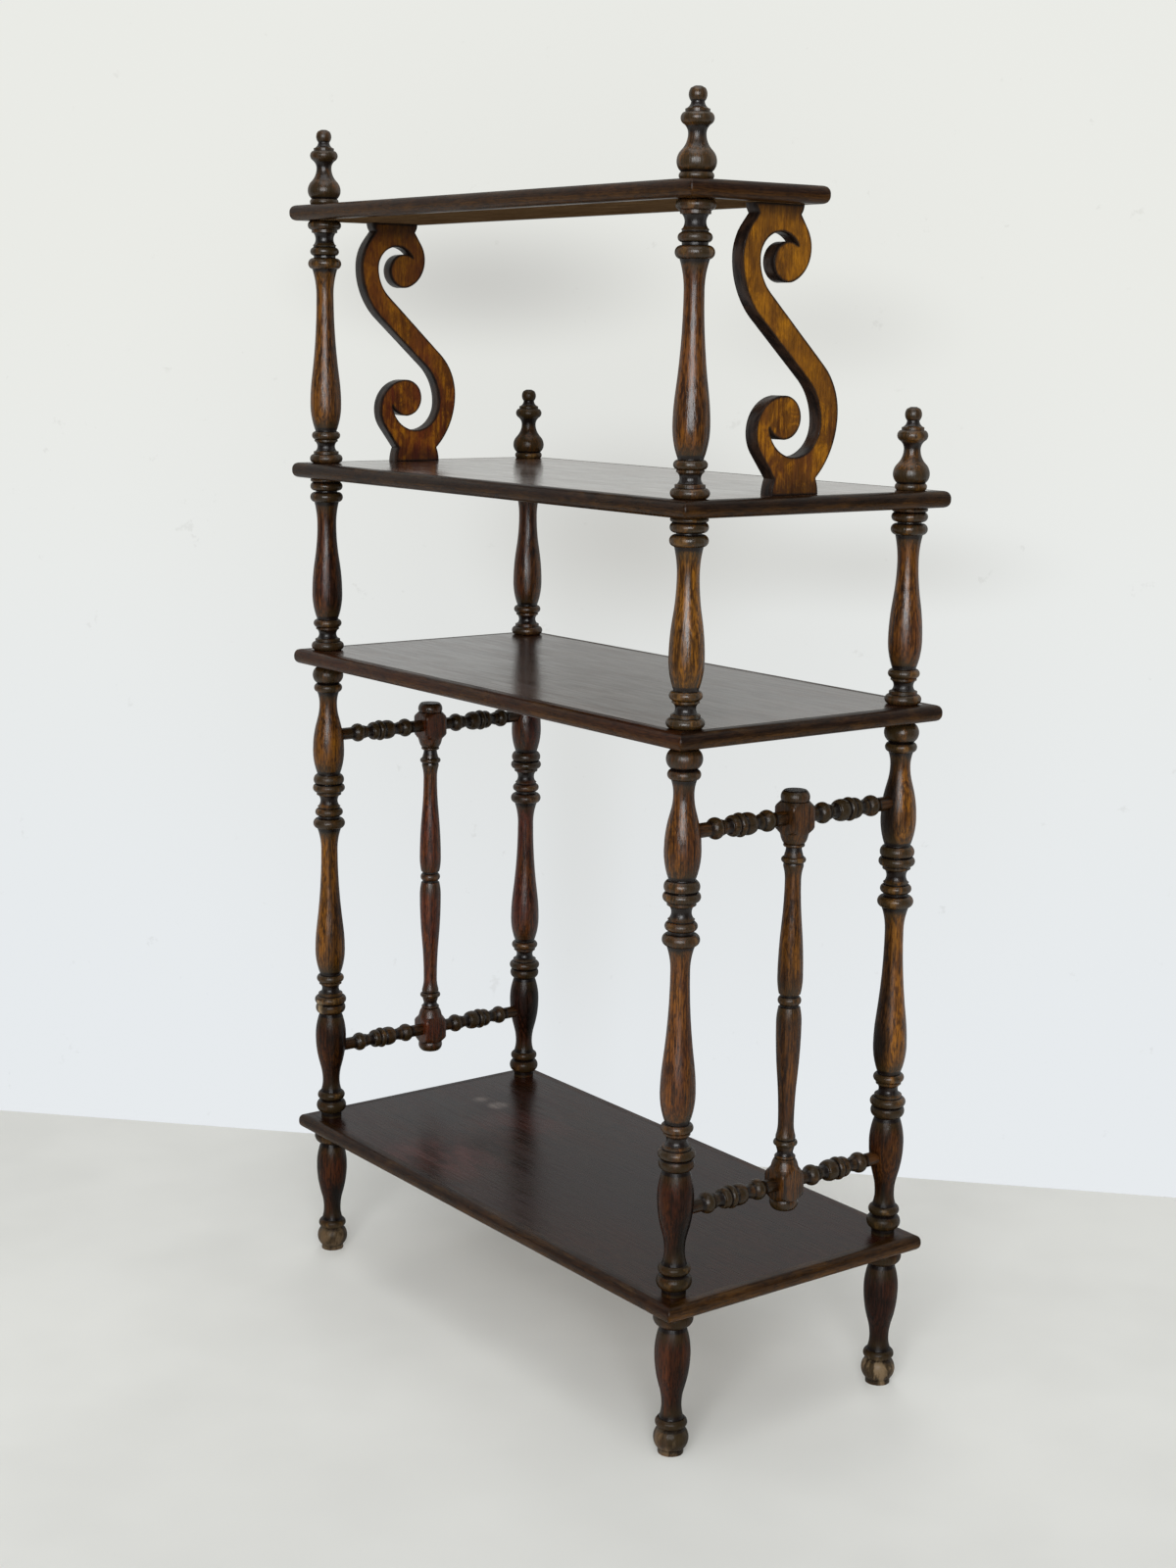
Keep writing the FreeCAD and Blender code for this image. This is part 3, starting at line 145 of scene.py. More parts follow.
BLACK = linear(14, 9, 8)
OCHRE = linear(142, 90, 14)
RED = linear(88, 28, 12)
WORN = linear(104, 78, 42)
OLIVE = linear(42, 32, 17)
RAW = linear(156, 132, 100)
GROWTH_LINE = (0.34, 0.28, 0.26)
PORE = (0.2, 0.16, 0.14)
# Where the log's heart lies from the middle of a piece, and the width of a year's growth.
PITH = (0.034, 0.046, 0.0)
RING_PITCH = 0.0026
RING_WAVE = 26.0
EDGE_GLOSS = 0.03
REFRACTION = 1.45


class Wood(Shader):
    """Stained wood.  Its grain attribute gives the place across and along the board, and the
    attributes ochre, red and dark give the shares of each stain, from 0 to 1.  On turned
    pieces the dark share also holds a painted shade on one side."""

    def __init__(self, name, deep, plain):
        super().__init__(name)
        self.place = self.node("Attribute", attribute_name="grain").outputs["Vector"]
        long_place = self.scaled(self.place, 1.0, 0.42)
        self.mottle = self.noise(long_place, 70.0, 4.0, 0.66, 0.4)
        self.cloud = self.noise(long_place, 18.0, 2.0, 0.5)
        self.drift = self.noise(self.scaled(self.place, 1.0, 0.3), 34.0, 3.0, 0.6)
        self.streak = self.noise(self.scaled(self.place, 1.0, 0.05), 330.0, 3.0, 0.65)
        self.fibre = self.noise(self.scaled(self.place, 1.0, 0.14), 700.0, 2.0, 0.6)
        figure = self.blend((0.5, self.mottle), (0.5, self.streak))
        self.colour = self.mix(self.remap(figure, 0.42, 0.58), deep, plain)

    def stain(self):
        """Lay each stain in patches that follow its own attribute."""
        layers = (
            ("ochre", OCHRE, self.blend((0.55, self.mottle), (0.45, self.cloud))),
            ("red", RED, self.drift),
            # The dark layer also lays the painted shade on one side of each turned piece.
            ("dark", BLACK, self.blend((0.6, self.cloud), (0.4, self.drift))),
        )
        for shade, tint, patch in layers:
            patchy = self.remap(patch, 0.36, 0.6, 0.45, 1.15)
            self.coat(self.math("MULTIPLY", self.attribute(shade), patchy, True), tint)

    def rings(self, strength):
        """Dark growth lines, cut by the surface as the log's rings would be."""
        warp = self.noise(self.scaled(self.place, 1.0, 0.16), 20.0, 2.0, 0.5)
        moved = self.node("VectorMath", {0: self.place, 1: PITH}, operation="ADD").outputs[0]
        flat = self.node("VectorMath", {0: moved, 1: (1.0, 1.0, 0.0)}, operation="MULTIPLY")
        reach = self.node("VectorMath", {0: flat.outputs[0]}, operation="LENGTH")
        turn = self.blend((2 * math.pi / RING_PITCH, reach.outputs["Value"]),
                          (RING_WAVE, warp))
        line = self.remap(self.math("SINE", turn), 0.1, 0.95)
        share = self.math("MULTIPLY", line, self.remap(self.cloud, 0.38, 0.6, 0.35, 1.0))
        self.colour = self.mix(self.math("MULTIPLY", share, strength), self.colour,
                               GROWTH_LINE, "MULTIPLY")

    def pores(self, strength):
        """Fine dark dashes along the grain."""
        dash = self.remap(self.fibre, 0.38, 0.54, strength, 0.0)
        self.colour = self.mix(dash, self.colour, PORE, "MULTIPLY")

    def coat(self, share, tint):
        """Cover a share of the colour with a tint."""
        self.colour = self.mix(share, self.colour, tint)

    def relieve(self):
        """Darken grooves and rub ridges bare; relief runs from -1 in a groove to 1."""
        height = self.attribute("relief")
        ridge = self.remap(height, 0.3, 0.9)
        self.coat(self.math("MULTIPLY", ridge, self.remap(self.mottle, 0.52, 0.66, 0.0, 0.45)),
                  WORN)
        uneven_height = self.blend((1.0, height), (0.5, self.mottle))
        self.coat(self.remap(uneven_height, -0.3, 0.12, 0.92, 0.0), BLACK)

    def rim_sheen(self, specular):
        """Gloss level that fades where the surface turns away from the viewer."""
        facing = self.node("LayerWeight", {"Blend": 0.5}).outputs["Facing"]
        return self.remap(facing, 0.35, 0.85, specular, EDGE_GLOSS)

    def varnish(self, rough, specular, relief=0.0003, swell=0.6, spread=0.1):
        """Close the material with a worn gloss finish.  Relief is the depth of the grain, swell
        the share of broad unevenness and spread how far the roughness strays."""
        height = self.blend((0.6, self.fibre), (0.4, self.streak), (swell, self.mottle))
        bump = self.node("Bump", {"Height": height, "Strength": 0.5, "Distance": relief})
        wear = self.blend((swell, self.drift), (1.0 - swell, self.streak))
        gloss = self.remap(wear, 0.36, 0.64, rough - spread, rough + spread)
        shade = self.node("BsdfPrincipled", {"Base Color": self.colour, "Roughness": gloss,
                                             "Normal": bump.outputs[0], "IOR": REFRACTION,
                                             "Specular IOR Level": specular})
        self.feed(self.output.inputs["Surface"], shade.outputs[0])
        return self.material


def turned_wood():
    """Posts, finials and spindles: patchy stain, dark grooves, rubbed ridges."""
    s = Wood("turned_wood", linear(14, 7, 4), linear(74, 42, 12))
    s.stain()
    s.rings(0.75)
    s.pores(0.85)
    s.coat(s.remap(s.streak, 0.38, 0.5, 0.6, 0.0), BLACK)
    dull = s.remap(s.mottle, 0.42, 0.66, 0.9, 0.4)
    s.coat(s.math("MULTIPLY", s.attribute("ringed"), dull), OLIVE)
    s.relieve()
    ragged = s.remap(s.blend((0.7, s.mottle), (0.3, s.drift)), 0.47, 0.58, 0.1, 1.0)
    s.coat(s.math("MULTIPLY", s.attribute("rubbed"), ragged, True), RAW)
    waxed = s.remap(s.attribute("dark"), 0.1, 0.8, 1.0, 0.3)
    sheen = s.math("MULTIPLY", s.rim_sheen(0.42), waxed)
    return s.varnish(0.3, sheen, 0.0008, 0.4, 0.12)


def strip_wood():
    """Edge strips: nearly black, worn along the nose."""
    s = Wood("strip_wood", linear(11, 7, 5), linear(38, 24, 12))
    s.stain()
    s.rings(0.45)
    s.pores(0.6)
    s.relieve()
    return s.varnish(0.32, s.rim_sheen(0.17), 0.0005, 0.4)


def board_wood(name, deep, plain, rough, specular, patches=()):
    """Shelf panel, bare underneath; patches are (centre, radius, soft width, share, tint)."""
    s = Wood(name, deep, plain)
    s.stain()
    s.rings(0.3)
    s.pores(0.5)
    for centre, radius, soft, share, tint in patches:
        ragged = s.remap(s.blend((0.5, s.mottle), (0.5, s.drift)), 0.38, 0.6, 0.1, 1.0)
        marked = s.math("MULTIPLY", s.spot(centre, radius, soft), ragged)
        s.coat(s.math("MULTIPLY", marked, share), tint)
    facing = s.node("SeparateXYZ", {"Vector": s.node("NewGeometry").outputs["Normal"]})
    under = s.remap(facing.outputs["Z"], -0.6, -0.95)
    bare = s.mix(s.remap(s.streak, 0.35, 0.65), linear(96, 72, 48), linear(140, 112, 80))
    s.coat(under, bare)
    sheen = s.math("MULTIPLY", s.math("SUBTRACT", 1.0, under), specular)
    return s.varnish(rough, sheen, 0.00005, 0.3, 0.05)


def scroll_wood():
    """Scrolls: amber faces with dark rims and sawn edges."""
    s = Wood("scroll_wood", linear(70, 36, 6), linear(170, 112, 12))
    patch = s.noise(s.scaled(s.place, 1.0, 0.7), 55.0, 4.0, 0.68, 0.6)
    s.coat(s.remap(patch, 0.42, 0.6, 0.9, 0.0), linear(40, 20, 7))
    s.stain()
    s.rings(0.18)
    s.pores(0.4)
    rim = s.attribute("rim")
    s.coat(s.remap(s.blend((1.0, rim), (1.6, s.mottle)), 1.4, 4.0, 0.95, 0.0), BLACK)
    sawn = s.mix(s.remap(s.mottle, 0.38, 0.62), linear(20, 14, 12), linear(46, 32, 24))
    s.coat(s.attribute("sawn"), sawn)
    return s.varnish(0.32, s.rim_sheen(0.25))


def plain_wood():
    """Unstained wood for the dowels."""
    s = Wood("dowel_wood", linear(140, 112, 78), linear(176, 148, 108))
    s.pores(0.5)
    return s.varnish(0.6, 0.3)


# Geometry helpers --------------------------------------------------------------------------
SAME_LEVEL = 1e-5
ON_AXIS = 2e-5
# Radii that lie inside a joint of a turned piece, and so not on its outer profile.
FINIAL_CORE = 0.0025
SPINDLE_CORE = 0.0052
POST_CORE = 0.0076


def points_of(node):
    """Vertices of a CAD node as an array, in metres."""
    mesh = nodes[node].data
    flat = np.zeros(len(mesh.vertices) * 3)
    mesh.vertices.foreach_get("co", flat)
    return flat.reshape(-1, 3)


def least_radius(node):
    """Radius below which the profile points of a turned node belong to its joints."""
    if node.startswith("finial"):
        return FINIAL_CORE
    return SPINDLE_CORE if node.startswith(("stretcher", "side")) else POST_CORE


def meridian(node, along):
    """Outer profile of a turned CAD node: its centre and (distance along, radius) pairs.

    The profile lies in the plane through X and the length, on the side with more points."""
    points = points_of(node)
    centre = (points.min(0) + points.max(0)) / 2
    offset = points - centre
    depth = 3 - along
    in_plane = np.abs(offset[:, depth]) < ON_AXIS
    best = ()
    for side in (1, -1):
        near = in_plane & (offset[:, 0] * side > least_radius(node))
        pairs = np.c_[points[near][:, along], np.abs(offset[near][:, 0])]
        pairs = np.unique(np.round(pairs, 6), axis=0)
        if len(pairs) > len(best):
            best = pairs
    return centre, best


def chain(pairs):
    """Order profile points upwards, and at a flat shoulder from the nearest radius on."""
    path = []
    start = 0
    while start < len(pairs):
        stop = start + 1
        while stop < len(pairs) and pairs[stop][0] - pairs[start][0] < SAME_LEVEL:
            stop += 1
        level = [tuple(p) for p in pairs[start:stop]]
        if path and abs(level[-1][1] - path[-1][1]) < abs(level[0][1] - path[-1][1]):
            level.reverse()
        path.extend([level[0], level[-1]] if len(level) > 1 else level)
        start = stop
    return path


def set_values(mesh, name, values):
    """Float or vector attribute on the points of a mesh; one number stands for all of them."""
    values = np.asarray(values, dtype=float)
    if values.ndim == 2:
        made = mesh.attributes.new(name, "FLOAT_VECTOR", "POINT")
        made.data.foreach_set("vector", values.ravel())
        return
    if values.ndim == 0:
        values = np.full(len(mesh.vertices), float(values))
    made = mesh.attributes.new(name, "FLOAT", "POINT")
    made.data.foreach_set("value", values)


def finish_piece(name, vertices, faces, material, node, values, sharp):
    """Mesh object with smooth faces and attributes that rides on the root body and stands for
    a CAD node.  Edges that turn by more than sharp degrees stay crisp."""
    mesh = bpy.data.meshes.new(name)
    mesh.from_pydata([tuple(v) for v in vertices], [], faces)
    mesh.polygons.foreach_set("use_smooth", [True] * len(mesh.polygons))
    mesh.set_sharp_from_angle(angle=math.radians(sharp))
    for key, numbers in values.items():
        set_values(mesh, key, numbers)
    mesh.materials.append(material)
    made = bpy.data.objects.new(name, mesh)
    scene.collection.objects.link(made)
    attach(made, "root")
    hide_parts(node)


def tube_faces(rows, count, flipped):
    """Quads between the rows of a tube and a cap at each end."""
    faces = []
    for row in range(1, rows):
        ring, below = row * count, (row - 1) * count
        for column in range(count):
            after = (column + 1) % count
            faces.append((below + column, below + after, ring + after, ring + column))
    last = (rows - 1) * count
    faces.append(tuple(range(count - 1, -1, -1)))
    faces.append(tuple(range(last, last + count)))
    return [face[::-1] for face in faces] if flipped else faces


# Turned pieces -----------------------------------------------------------------------------
AROUND = 64
SOFT_EDGE = 0.00035
CORNER_TURN = 0.45
STEP = 0.0022
# Relief is read on a grid along the profile: its step, the blur that it is measured against,
# the blur that shows how ringed a place is, and the relief that counts as 1.
GRID = 0.0005
SPAN = 0.0035
RING_SPAN = 0.006
RIDGE = 0.0012
BLOCK_EASE = 0.0009
# Out of true: the depth, how far the oval turns per metre and how close the dents lie.
WOBBLE = 0.00008
OVAL_TURN = 9.0
DENTS_AROUND = 1.7
DENTS_ALONG = 90.0
TURNED_SHARP = 38.0


def softened(path):
    """Profile with each sharp corner cut to a small bevel and long runs divided."""
    cut = [path[0]]
    for before, here, after in zip(path, path[1:], path[2:]):
        first = Vector((here[0] - before[0], here[1] - before[1]))
        second = Vector((after[0] - here[0], after[1] - here[1]))
        room = min(first.length, second.length) > 2.5 * SOFT_EDGE
        if room and first.angle(second) > CORNER_TURN:
            back, on = first.normalized() * SOFT_EDGE, second.normalized() * SOFT_EDGE
            cut.append((here[0] - back.x, here[1] - back.y))
            cut.append((here[0] + on.x, here[1] + on.y))
        else:
            cut.append(here)
    cut.append(path[-1])
    fine = [cut[0]]
    for here, there in zip(cut, cut[1:]):
        parts = max(1, math.ceil(math.dist(here, there) / STEP))
        for part in range(1, parts + 1):
            share = part / parts
            fine.append((here[0] + (there[0] - here[0]) * share,
                         here[1] + (there[1] - here[1]) * share))
    return fine


def blurred(values, span):
    """Values on the profile's grid, blurred over a span."""
    reach = int(span / GRID)
    kernel = np.exp(-0.5 * (np.arange(-3 * reach, 3 * reach + 1) / reach) ** 2)
    kernel /= kernel.sum()
    return np.convolve(np.pad(values, 3 * reach, mode="edge"), kernel, "valid")


def relief_of(path):
    """How far each profile point stands out of its surroundings, from -1 to 1, and how full
    of rings its surroundings are, from 0 to 1."""
    spots = np.array(path)
    grid = np.arange(spots[0, 0], spots[-1, 0] + 1e-6, GRID)
    radius = np.interp(grid, spots[:, 0], spots[:, 1])
    proud = radius - blurred(radius, SPAN)
    ringed = np.sqrt(blurred(proud ** 2, RING_SPAN)) / RIDGE
    relief = np.interp(spots[:, 0], grid, proud) / RIDGE
    return np.clip(relief, -1, 1), np.clip(np.interp(spots[:, 0], grid, ringed) * 2, 0, 1)


def square_blocks(node, path):
    """Blocks of a side spindle as (low, high, corner low, corner high), then half their width
    and the radius of their corners.  The corners reach full radius between the last two."""
    low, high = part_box(node)
    side = (high.x - low.x) / 2
    points = points_of(node)
    offset = points - (points.min(0) + points.max(0)) / 2
    radial = np.hypot(offset[:, 0], offset[:, 1])
    corner = radial.max()
    flat_levels = [level for level, radius in path if radius > side - SAME_LEVEL]
    corner_levels = points[radial > corner - SAME_LEVEL][:, 2]
    middle = (path[0][0] + path[-1][0]) / 2
    blocks = []
    for below in (True, False):
        ends = [z for z in flat_levels if (z < middle) == below]
        turns = [z for z in corner_levels if (z < middle) == below]
        blocks.append((min(ends), max(ends), min(turns), max(turns)))
    return blocks, side, corner


def block_reach(level, angle, blocks, side, corner):
    """Radius of the square block, its corners turned off towards both ends, or None where the
    level lies outside the blocks."""
    for low, high, corner_low, corner_high in blocks:
        if low - SAME_LEVEL <= level <= high + SAME_LEVEL:
            rising = (level - low) / (corner_low - low)
            falling = (high - level) / (high - corner_high)
            share = max(min(rising, falling, 1.0), 0.0)
            flat_radius = side / max(abs(math.cos(angle)), abs(math.sin(angle)))
            return min(flat_radius, side + (corner - side) * share, corner - BLOCK_EASE)
    return None


def block_rows(path, blocks, side):
    """Add the levels between which each block has its full corners to the profile."""
    for low, high, corner_low, corner_high in blocks:
        at = 0
        while path[at][0] < high - SAME_LEVEL or path[at][1] <= side - SAME_LEVEL:
            at += 1
        path[at:at] = [(corner_low, side), (corner_high, side)]


def untrue(angle, level, phase, seed):
    """Depth by which a turned surface is oval and dented."""
    oval = 1.0 + math.cos(2 * angle + phase + level * OVAL_TURN)
    spot = Vector((math.cos(angle) * DENTS_AROUND, math.sin(angle) * DENTS_AROUND,
                   level * DENTS_ALONG + seed))
    return WOBBLE * (oval + 0.5 + 0.5 * noise.noise(spot))


def turned(node, along, seed):
    """Lathe-turned piece on the meridian of its CAD node, worn a little out of true."""
    draw = random.Random(seed)
    centre, pairs = meridian(node, along)
    path = chain(pairs)
    blocks = ()
    if node.startswith("side_spindle"):
        blocks, side, corner = square_blocks(node, path)
        block_rows(path, blocks, side)
    path = softened(path)
    heights, ringed = relief_of(path)
    # Stain values, with the painted shade on one side in the dark value.
    stain = stain_and_shade_of(node)
    right, up = [axis for axis in range(3) if axis != along]
    phase = draw.uniform(0, 2 * math.pi)
    turn = draw.uniform(0, 2 * math.pi)
    shift = draw.uniform(0, 3)
    vertices = []
    stains = ("ochre", "red", "dark", "rubbed")
    values = {key: [] for key in ("relief", "ringed", "grain", *stains)}
    for row, (level, radius) in enumerate(path):
        share = (level - path[0][0]) / (path[-1][0] - path[0][0])
        for column in range(AROUND):
            angle = 2 * math.pi * column / AROUND
            reach = radius
            if blocks:
                reach = block_reach(level, angle, blocks, side, corner) or radius
            reach -= untrue(angle, level, phase, seed)
            point = [0.0, 0.0, 0.0]
            point[along] = level
            point[right] = centre[right] + reach * math.cos(angle)
            point[up] = centre[up] + reach * math.sin(angle)
            vertices.append(point)
            values["relief"].append(heights[row])
            values["ringed"].append(ringed[row])
            values["grain"].append((reach * math.cos(angle + turn),
                                    reach * math.sin(angle + turn), level + shift))
            for key, number in zip(stains, stain(share, angle, level)):
                values[key].append(number)
    faces = tube_faces(len(path), AROUND, along == 1)
    finish_piece("turned_" + node, vertices, faces, TURNED, node, values,
                 TURNED_SHARP)


# Stain and painted shade ----------------------------------------------------------------------
# Shares of ochre, red and dark stain on each turned piece, then the bearing in degrees that its
# darker side faces and how much darker it is there.  The darker side is partly stain and partly
# painted shade, on the side away from the light.
STAINS_AND_SIDE_SHADE = {
    "finial_rear_right": (0.35, 0.15, 0.2, None, 0.0),
    "finial_rear_left": (0.55, 0.1, 0.1, None, 0.0),
    "finial_front_left": (0.6, 0.1, 0.1, 230, 0.2),
    "finial_front_right": (0.1, 0.05, 0.75, None, 0.0),
    "upper_column_rear_right": (0.55, 0.15, 0.0, 230, 0.3),
    "upper_column_rear_left": (0.35, 0.3, 0.0, 230, 0.3),
    "middle_column_rear_right": (0.2, 0.35, 0.15, 225, 0.6),
    "middle_column_rear_left": (0.85, 0.0, 0.0, 60, 0.3),
    "middle_column_front_left": (0.5, 0.3, 0.0, 60, 0.3),
    "middle_column_front_right": (0.4, 0.45, 0.05, 230, 0.2),
    "lower_column_rear_right": (0.85, 0.15, 0.0, 215, 0.6),
    "lower_column_rear_left": (0.65, 0.35, 0.1, 225, 0.3),
    "lower_column_front_left": (0.95, 0.15, 0.0, 60, 0.85),
    "lower_column_front_right": (0.2, 0.7, 0.15, 230, 0.2),
    "foot_rear_right": (0.25, 0.25, 0.25, 220, 0.4),
    "foot_rear_left": (0.7, 0.4, 0.05, 215, 0.9),
    "foot_front_left": (0.2, 0.4, 0.3, None, 0.0),
    "foot_front_right": (0.2, 0.4, 0.4, None, 0.0),
    "side_spindle_right": (0.35, 0.6, 0.0, 225, 0.3),
    "side_spindle_left": (0.5, 0.15, 0.25, 60, 0.3),
}
STRETCHER_STAIN = (0.15, 0.1, 0.5, None, 0.0)
RUBBED_FEET = {"rear_right": 0.25, "rear_left": 0.25, "front_left": 0.45, "front_right": 0.15}
RUBBED_HEIGHT = 0.034
RUBBED_FADE = 0.012
GOLD = 0.85
GOLD_LOST_AT_ENDS = 0.6
# The urn at the foot of a lower column is darker, up to this share of the column's length, and
# a foot is darker in the same way: how much gold it loses, and how much red and dark it gains.
LOW_URN = (0.22, 0.3)
URN_GOLD, URN_RED, URN_DARK = 0.7, 0.2, 0.6
FOOT_AS_URN = 0.7
CHIPPED = "lower_column_rear_right"
CHIP_LEVEL = 0.29
CHIP_HALF = 0.008
CHIP_BEARING = 75.0


def smooth(value, low, high):
    """0 below low, 1 above high, and an even curve between them."""
    share = min(max((value - low) / (high - low), 0.0), 1.0)
    return share * share * (3 - 2 * share)


def stain_and_shade_of(node):
    """Function from (share of the length, angle, height) to the four stain values; the dark
    value also holds the painted shade on one side.
    """
    ochre, red, dark, bearing, contrast = STAINS_AND_SIDE_SHADE.get(node, STRETCHER_STAIN)
    worn = RUBBED_FEET[node[5:]] if node.startswith("foot_") else 0.0
    facing = math.radians(bearing or 0.0)

    def stain(share, angle, level):
        shade = dark
        # Painted shade on the side that faces the bearing, laid in with the dark stain.
        if bearing is not None:
            shade = dark + contrast * smooth(math.cos(angle - facing), -0.1, 0.6)
        rubbed = worn * (1.0 - smooth(level, RUBBED_HEIGHT - RUBBED_FADE, RUBBED_HEIGHT))
        near_end = smooth(abs(share - 0.5), 0.3, 0.5)
        gold = GOLD * ochre * (1.0 - GOLD_LOST_AT_ENDS * near_end)
        low_urn = 1.0 - smooth(share, *LOW_URN) if node.startswith("lower") else 0.0
        if node.startswith("foot"):
            low_urn = FOOT_AS_URN
        if node == CHIPPED and abs(level - CHIP_LEVEL) < CHIP_HALF:
            rubbed = smooth(math.cos(angle - math.radians(CHIP_BEARING)), 0.7, 0.95)
        return (gold * (1.0 - URN_GOLD * low_urn), red + URN_RED * low_urn,
                min(shade + URN_DARK * low_urn, 1.0), rubbed)

    return stain


# Edge strips -------------------------------------------------------------------------------
MITRE_GAP = 0.00012
CORNER_ROUND = 0.003
CORNER_STEPS = 8
NOSE_FLAT = 0.0016
# Groove for the panel's tongue: its depth and the heights of its lower and upper side.
GROOVE = (0.0051, 0.0054, 0.0106)
ARC_STEPS = 8
EDGE_STEP = 0.012
EDGE_WEAR = 0.00022
WEAR_ALONG = 60
WEAR_UP = 300
TONE_SPREAD = 0.12
STRIP_SHARP = 30.0


def strip_section(width, thickness):
    """Closed section as (outwards, up) pairs: rounded nose and the groove for the tongue."""
    nose = (thickness - NOSE_FLAT) / 2
    shoulder = width - nose
    depth, low, high = GROOVE
    section = [(MITRE_GAP, 0.0), (shoulder * 0.5, 0.0)]
    for step in range(ARC_STEPS + 1):
        turn = math.pi / 2 * step / ARC_STEPS
        section.append((shoulder + nose * math.sin(turn), nose - nose * math.cos(turn)))
    for step in range(ARC_STEPS + 1):
        turn = math.pi / 2 * step / ARC_STEPS
        section.append((shoulder + nose * math.cos(turn),
                        nose + NOSE_FLAT + nose * math.sin(turn)))
    section += [(shoulder * 0.5, thickness), (MITRE_GAP, thickness), (MITRE_GAP, high),
                (depth, high), (depth, low), (MITRE_GAP, low)]
    return section


def strip_rows(half):
    """Places along a strip, closer together at its rounded corners."""
    straight = half - CORNER_ROUND
    ends = [half - CORNER_ROUND * (1 - step / CORNER_STEPS)
            for step in range(1, CORNER_STEPS + 1)]
    count = math.ceil(2 * straight / EDGE_STEP)
    middle = [-straight + 2 * straight * step / count for step in range(count + 1)]
    return [-place for place in reversed(ends)] + middle + ends


def at_corner(far, depth, width):
    """Distances from the strip's end and from its nose, at a rounded and mitred corner."""
    if far < CORNER_ROUND and depth < CORNER_ROUND:
        turn = (CORNER_ROUND - far) / CORNER_ROUND * math.pi / 4
        ring = CORNER_ROUND - depth
        far = CORNER_ROUND - ring * math.sin(turn)
        depth = CORNER_ROUND - ring * math.cos(turn)
    elif far < depth:
        far = depth
    return far + (MITRE_GAP if far < width * 1.5 else 0.0), depth


def strip_stain(reach, rise, width, thickness, tones):
    """Relief, ochre, red and dark at a place on the section of a strip."""
    outer = smooth(reach, width * 0.4, width * 0.75)
    top = smooth(rise, thickness * 0.55, thickness * 0.9)
    upper = smooth(rise, thickness * 0.35, thickness * 0.6)
    return (0.5 * outer * top, 0.1 + 0.14 * (1 - upper) + tones[0] * 0.5,
            0.09 * upper + 0.03 + tones[1], 0.36 + 0.16 * upper + tones[2])


def edge_strip(node, seed):
    """Strip with a rounded nose, mitred and rounded at its corners, worn along its edges."""
    draw = random.Random(seed)
    low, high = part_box(node)
    side = node.rsplit("_", 1)[1]
    run = 0 if side in ("front", "rear") else 1
    out = 1 - run
    sign = 1 if side in ("rear", "right") else -1
    width, thickness = high[out] - low[out], high.z - low.z
    inner = low[out] if sign > 0 else high[out]
    half, middle = (high[run] - low[run]) / 2, (high[run] + low[run]) / 2
    section = strip_section(width, thickness)
    shift = draw.uniform(0, 3)
    tones = [draw.uniform(-TONE_SPREAD, TONE_SPREAD) for _ in range(3)]
    vertices = []
    stains = ("relief", "ochre", "red", "dark")
    values = {key: [] for key in ("grain", *stains)}
    rows = strip_rows(half)
    for place in rows:
        way = 1 if place >= 0 else -1
        for reach, rise in section:
            far, depth = at_corner(half - abs(place), width - reach, width)
            spot = Vector((place * WEAR_ALONG, seed * 3.7, rise * WEAR_UP))
            worn = smooth(reach, width * 0.55, width * 0.8)
            depth += EDGE_WEAR * worn * (0.5 + 0.5 * noise.noise(spot))
            point = [0.0, 0.0, low.z + rise]
            point[run] = middle + way * (half - far)
            point[out] = inner + sign * (width - depth)
            vertices.append(point)
            values["grain"].append((reach, rise + seed * 0.01, place + shift))
            stained = strip_stain(reach, rise, width, thickness, tones)
            for key, number in zip(stains, stained):
                values[key].append(number)
    faces = tube_faces(len(rows), len(section), (sign > 0) == (run == 0))
    finish_piece("edge_" + node, vertices, faces, STRIP, node, values,
                 STRIP_SHARP)


# Scrolls -----------------------------------------------------------------------------------
RIM_CUT = 0.0005
RIM_RING = 0.0016
FACE_GRID = 0.004
GRID_STRAY = 0.0008
EDGE_LENGTH = 0.0025
SAW_WAVE = 0.0002
WAVE_ACROSS = 200
WAVE_ALONG = 0.35
SCROLL_SHARP = 50.0
SCROLL_RED = {"scroll_right": 0.4, "scroll_left": 0.05}


def board_outline(node):
    """Ordered outline of a flat board's face as (y, z) pairs, anticlockwise."""
    mesh = nodes[node].data
    points = points_of(node)
    face_x = points[:, 0].max()
    edges = set()
    for polygon in mesh.polygons:
        ring = [tuple(np.round(points[i], 6)) for i in polygon.vertices]
        if all(abs(p[0] - face_x) < 2e-6 for p in ring):
            for here, there in zip(ring, ring[1:] + ring[:1]):
                key = (here[1:], there[1:])
                if key[::-1] in edges:
                    edges.remove(key[::-1])
                else:
                    edges.add(key)
    onward = dict(edges)
    start = min(onward)
    outline, here = [start], onward[start]
    while here != start:
        outline.append(here)
        here = onward[here]
    pairs = zip(outline, outline[1:] + outline[:1])
    area = sum(a[0] * b[1] - b[0] * a[1] for a, b in pairs)
    return outline if area > 0 else outline[::-1]


def divided(outline):
    """Outline with its long runs divided, and the inward direction at each point."""
    fine = []
    for here, there in zip(outline, outline[1:] + outline[:1]):
        parts = max(1, math.ceil(math.dist(here, there) / EDGE_LENGTH))
        for part in range(parts):
            share = part / parts
            fine.append(np.array(here) + (np.array(there) - np.array(here)) * share)
    fine = np.array(fine)
    onward = np.roll(fine, -1, axis=0) - fine
    onward /= np.linalg.norm(onward, axis=1)[:, None]
    back = np.roll(onward, 1, axis=0)
    inward = np.c_[-(onward[:, 1] + back[:, 1]), onward[:, 0] + back[:, 0]]
    inward /= np.maximum(np.linalg.norm(inward, axis=1), 1e-6)[:, None]
    return fine, inward


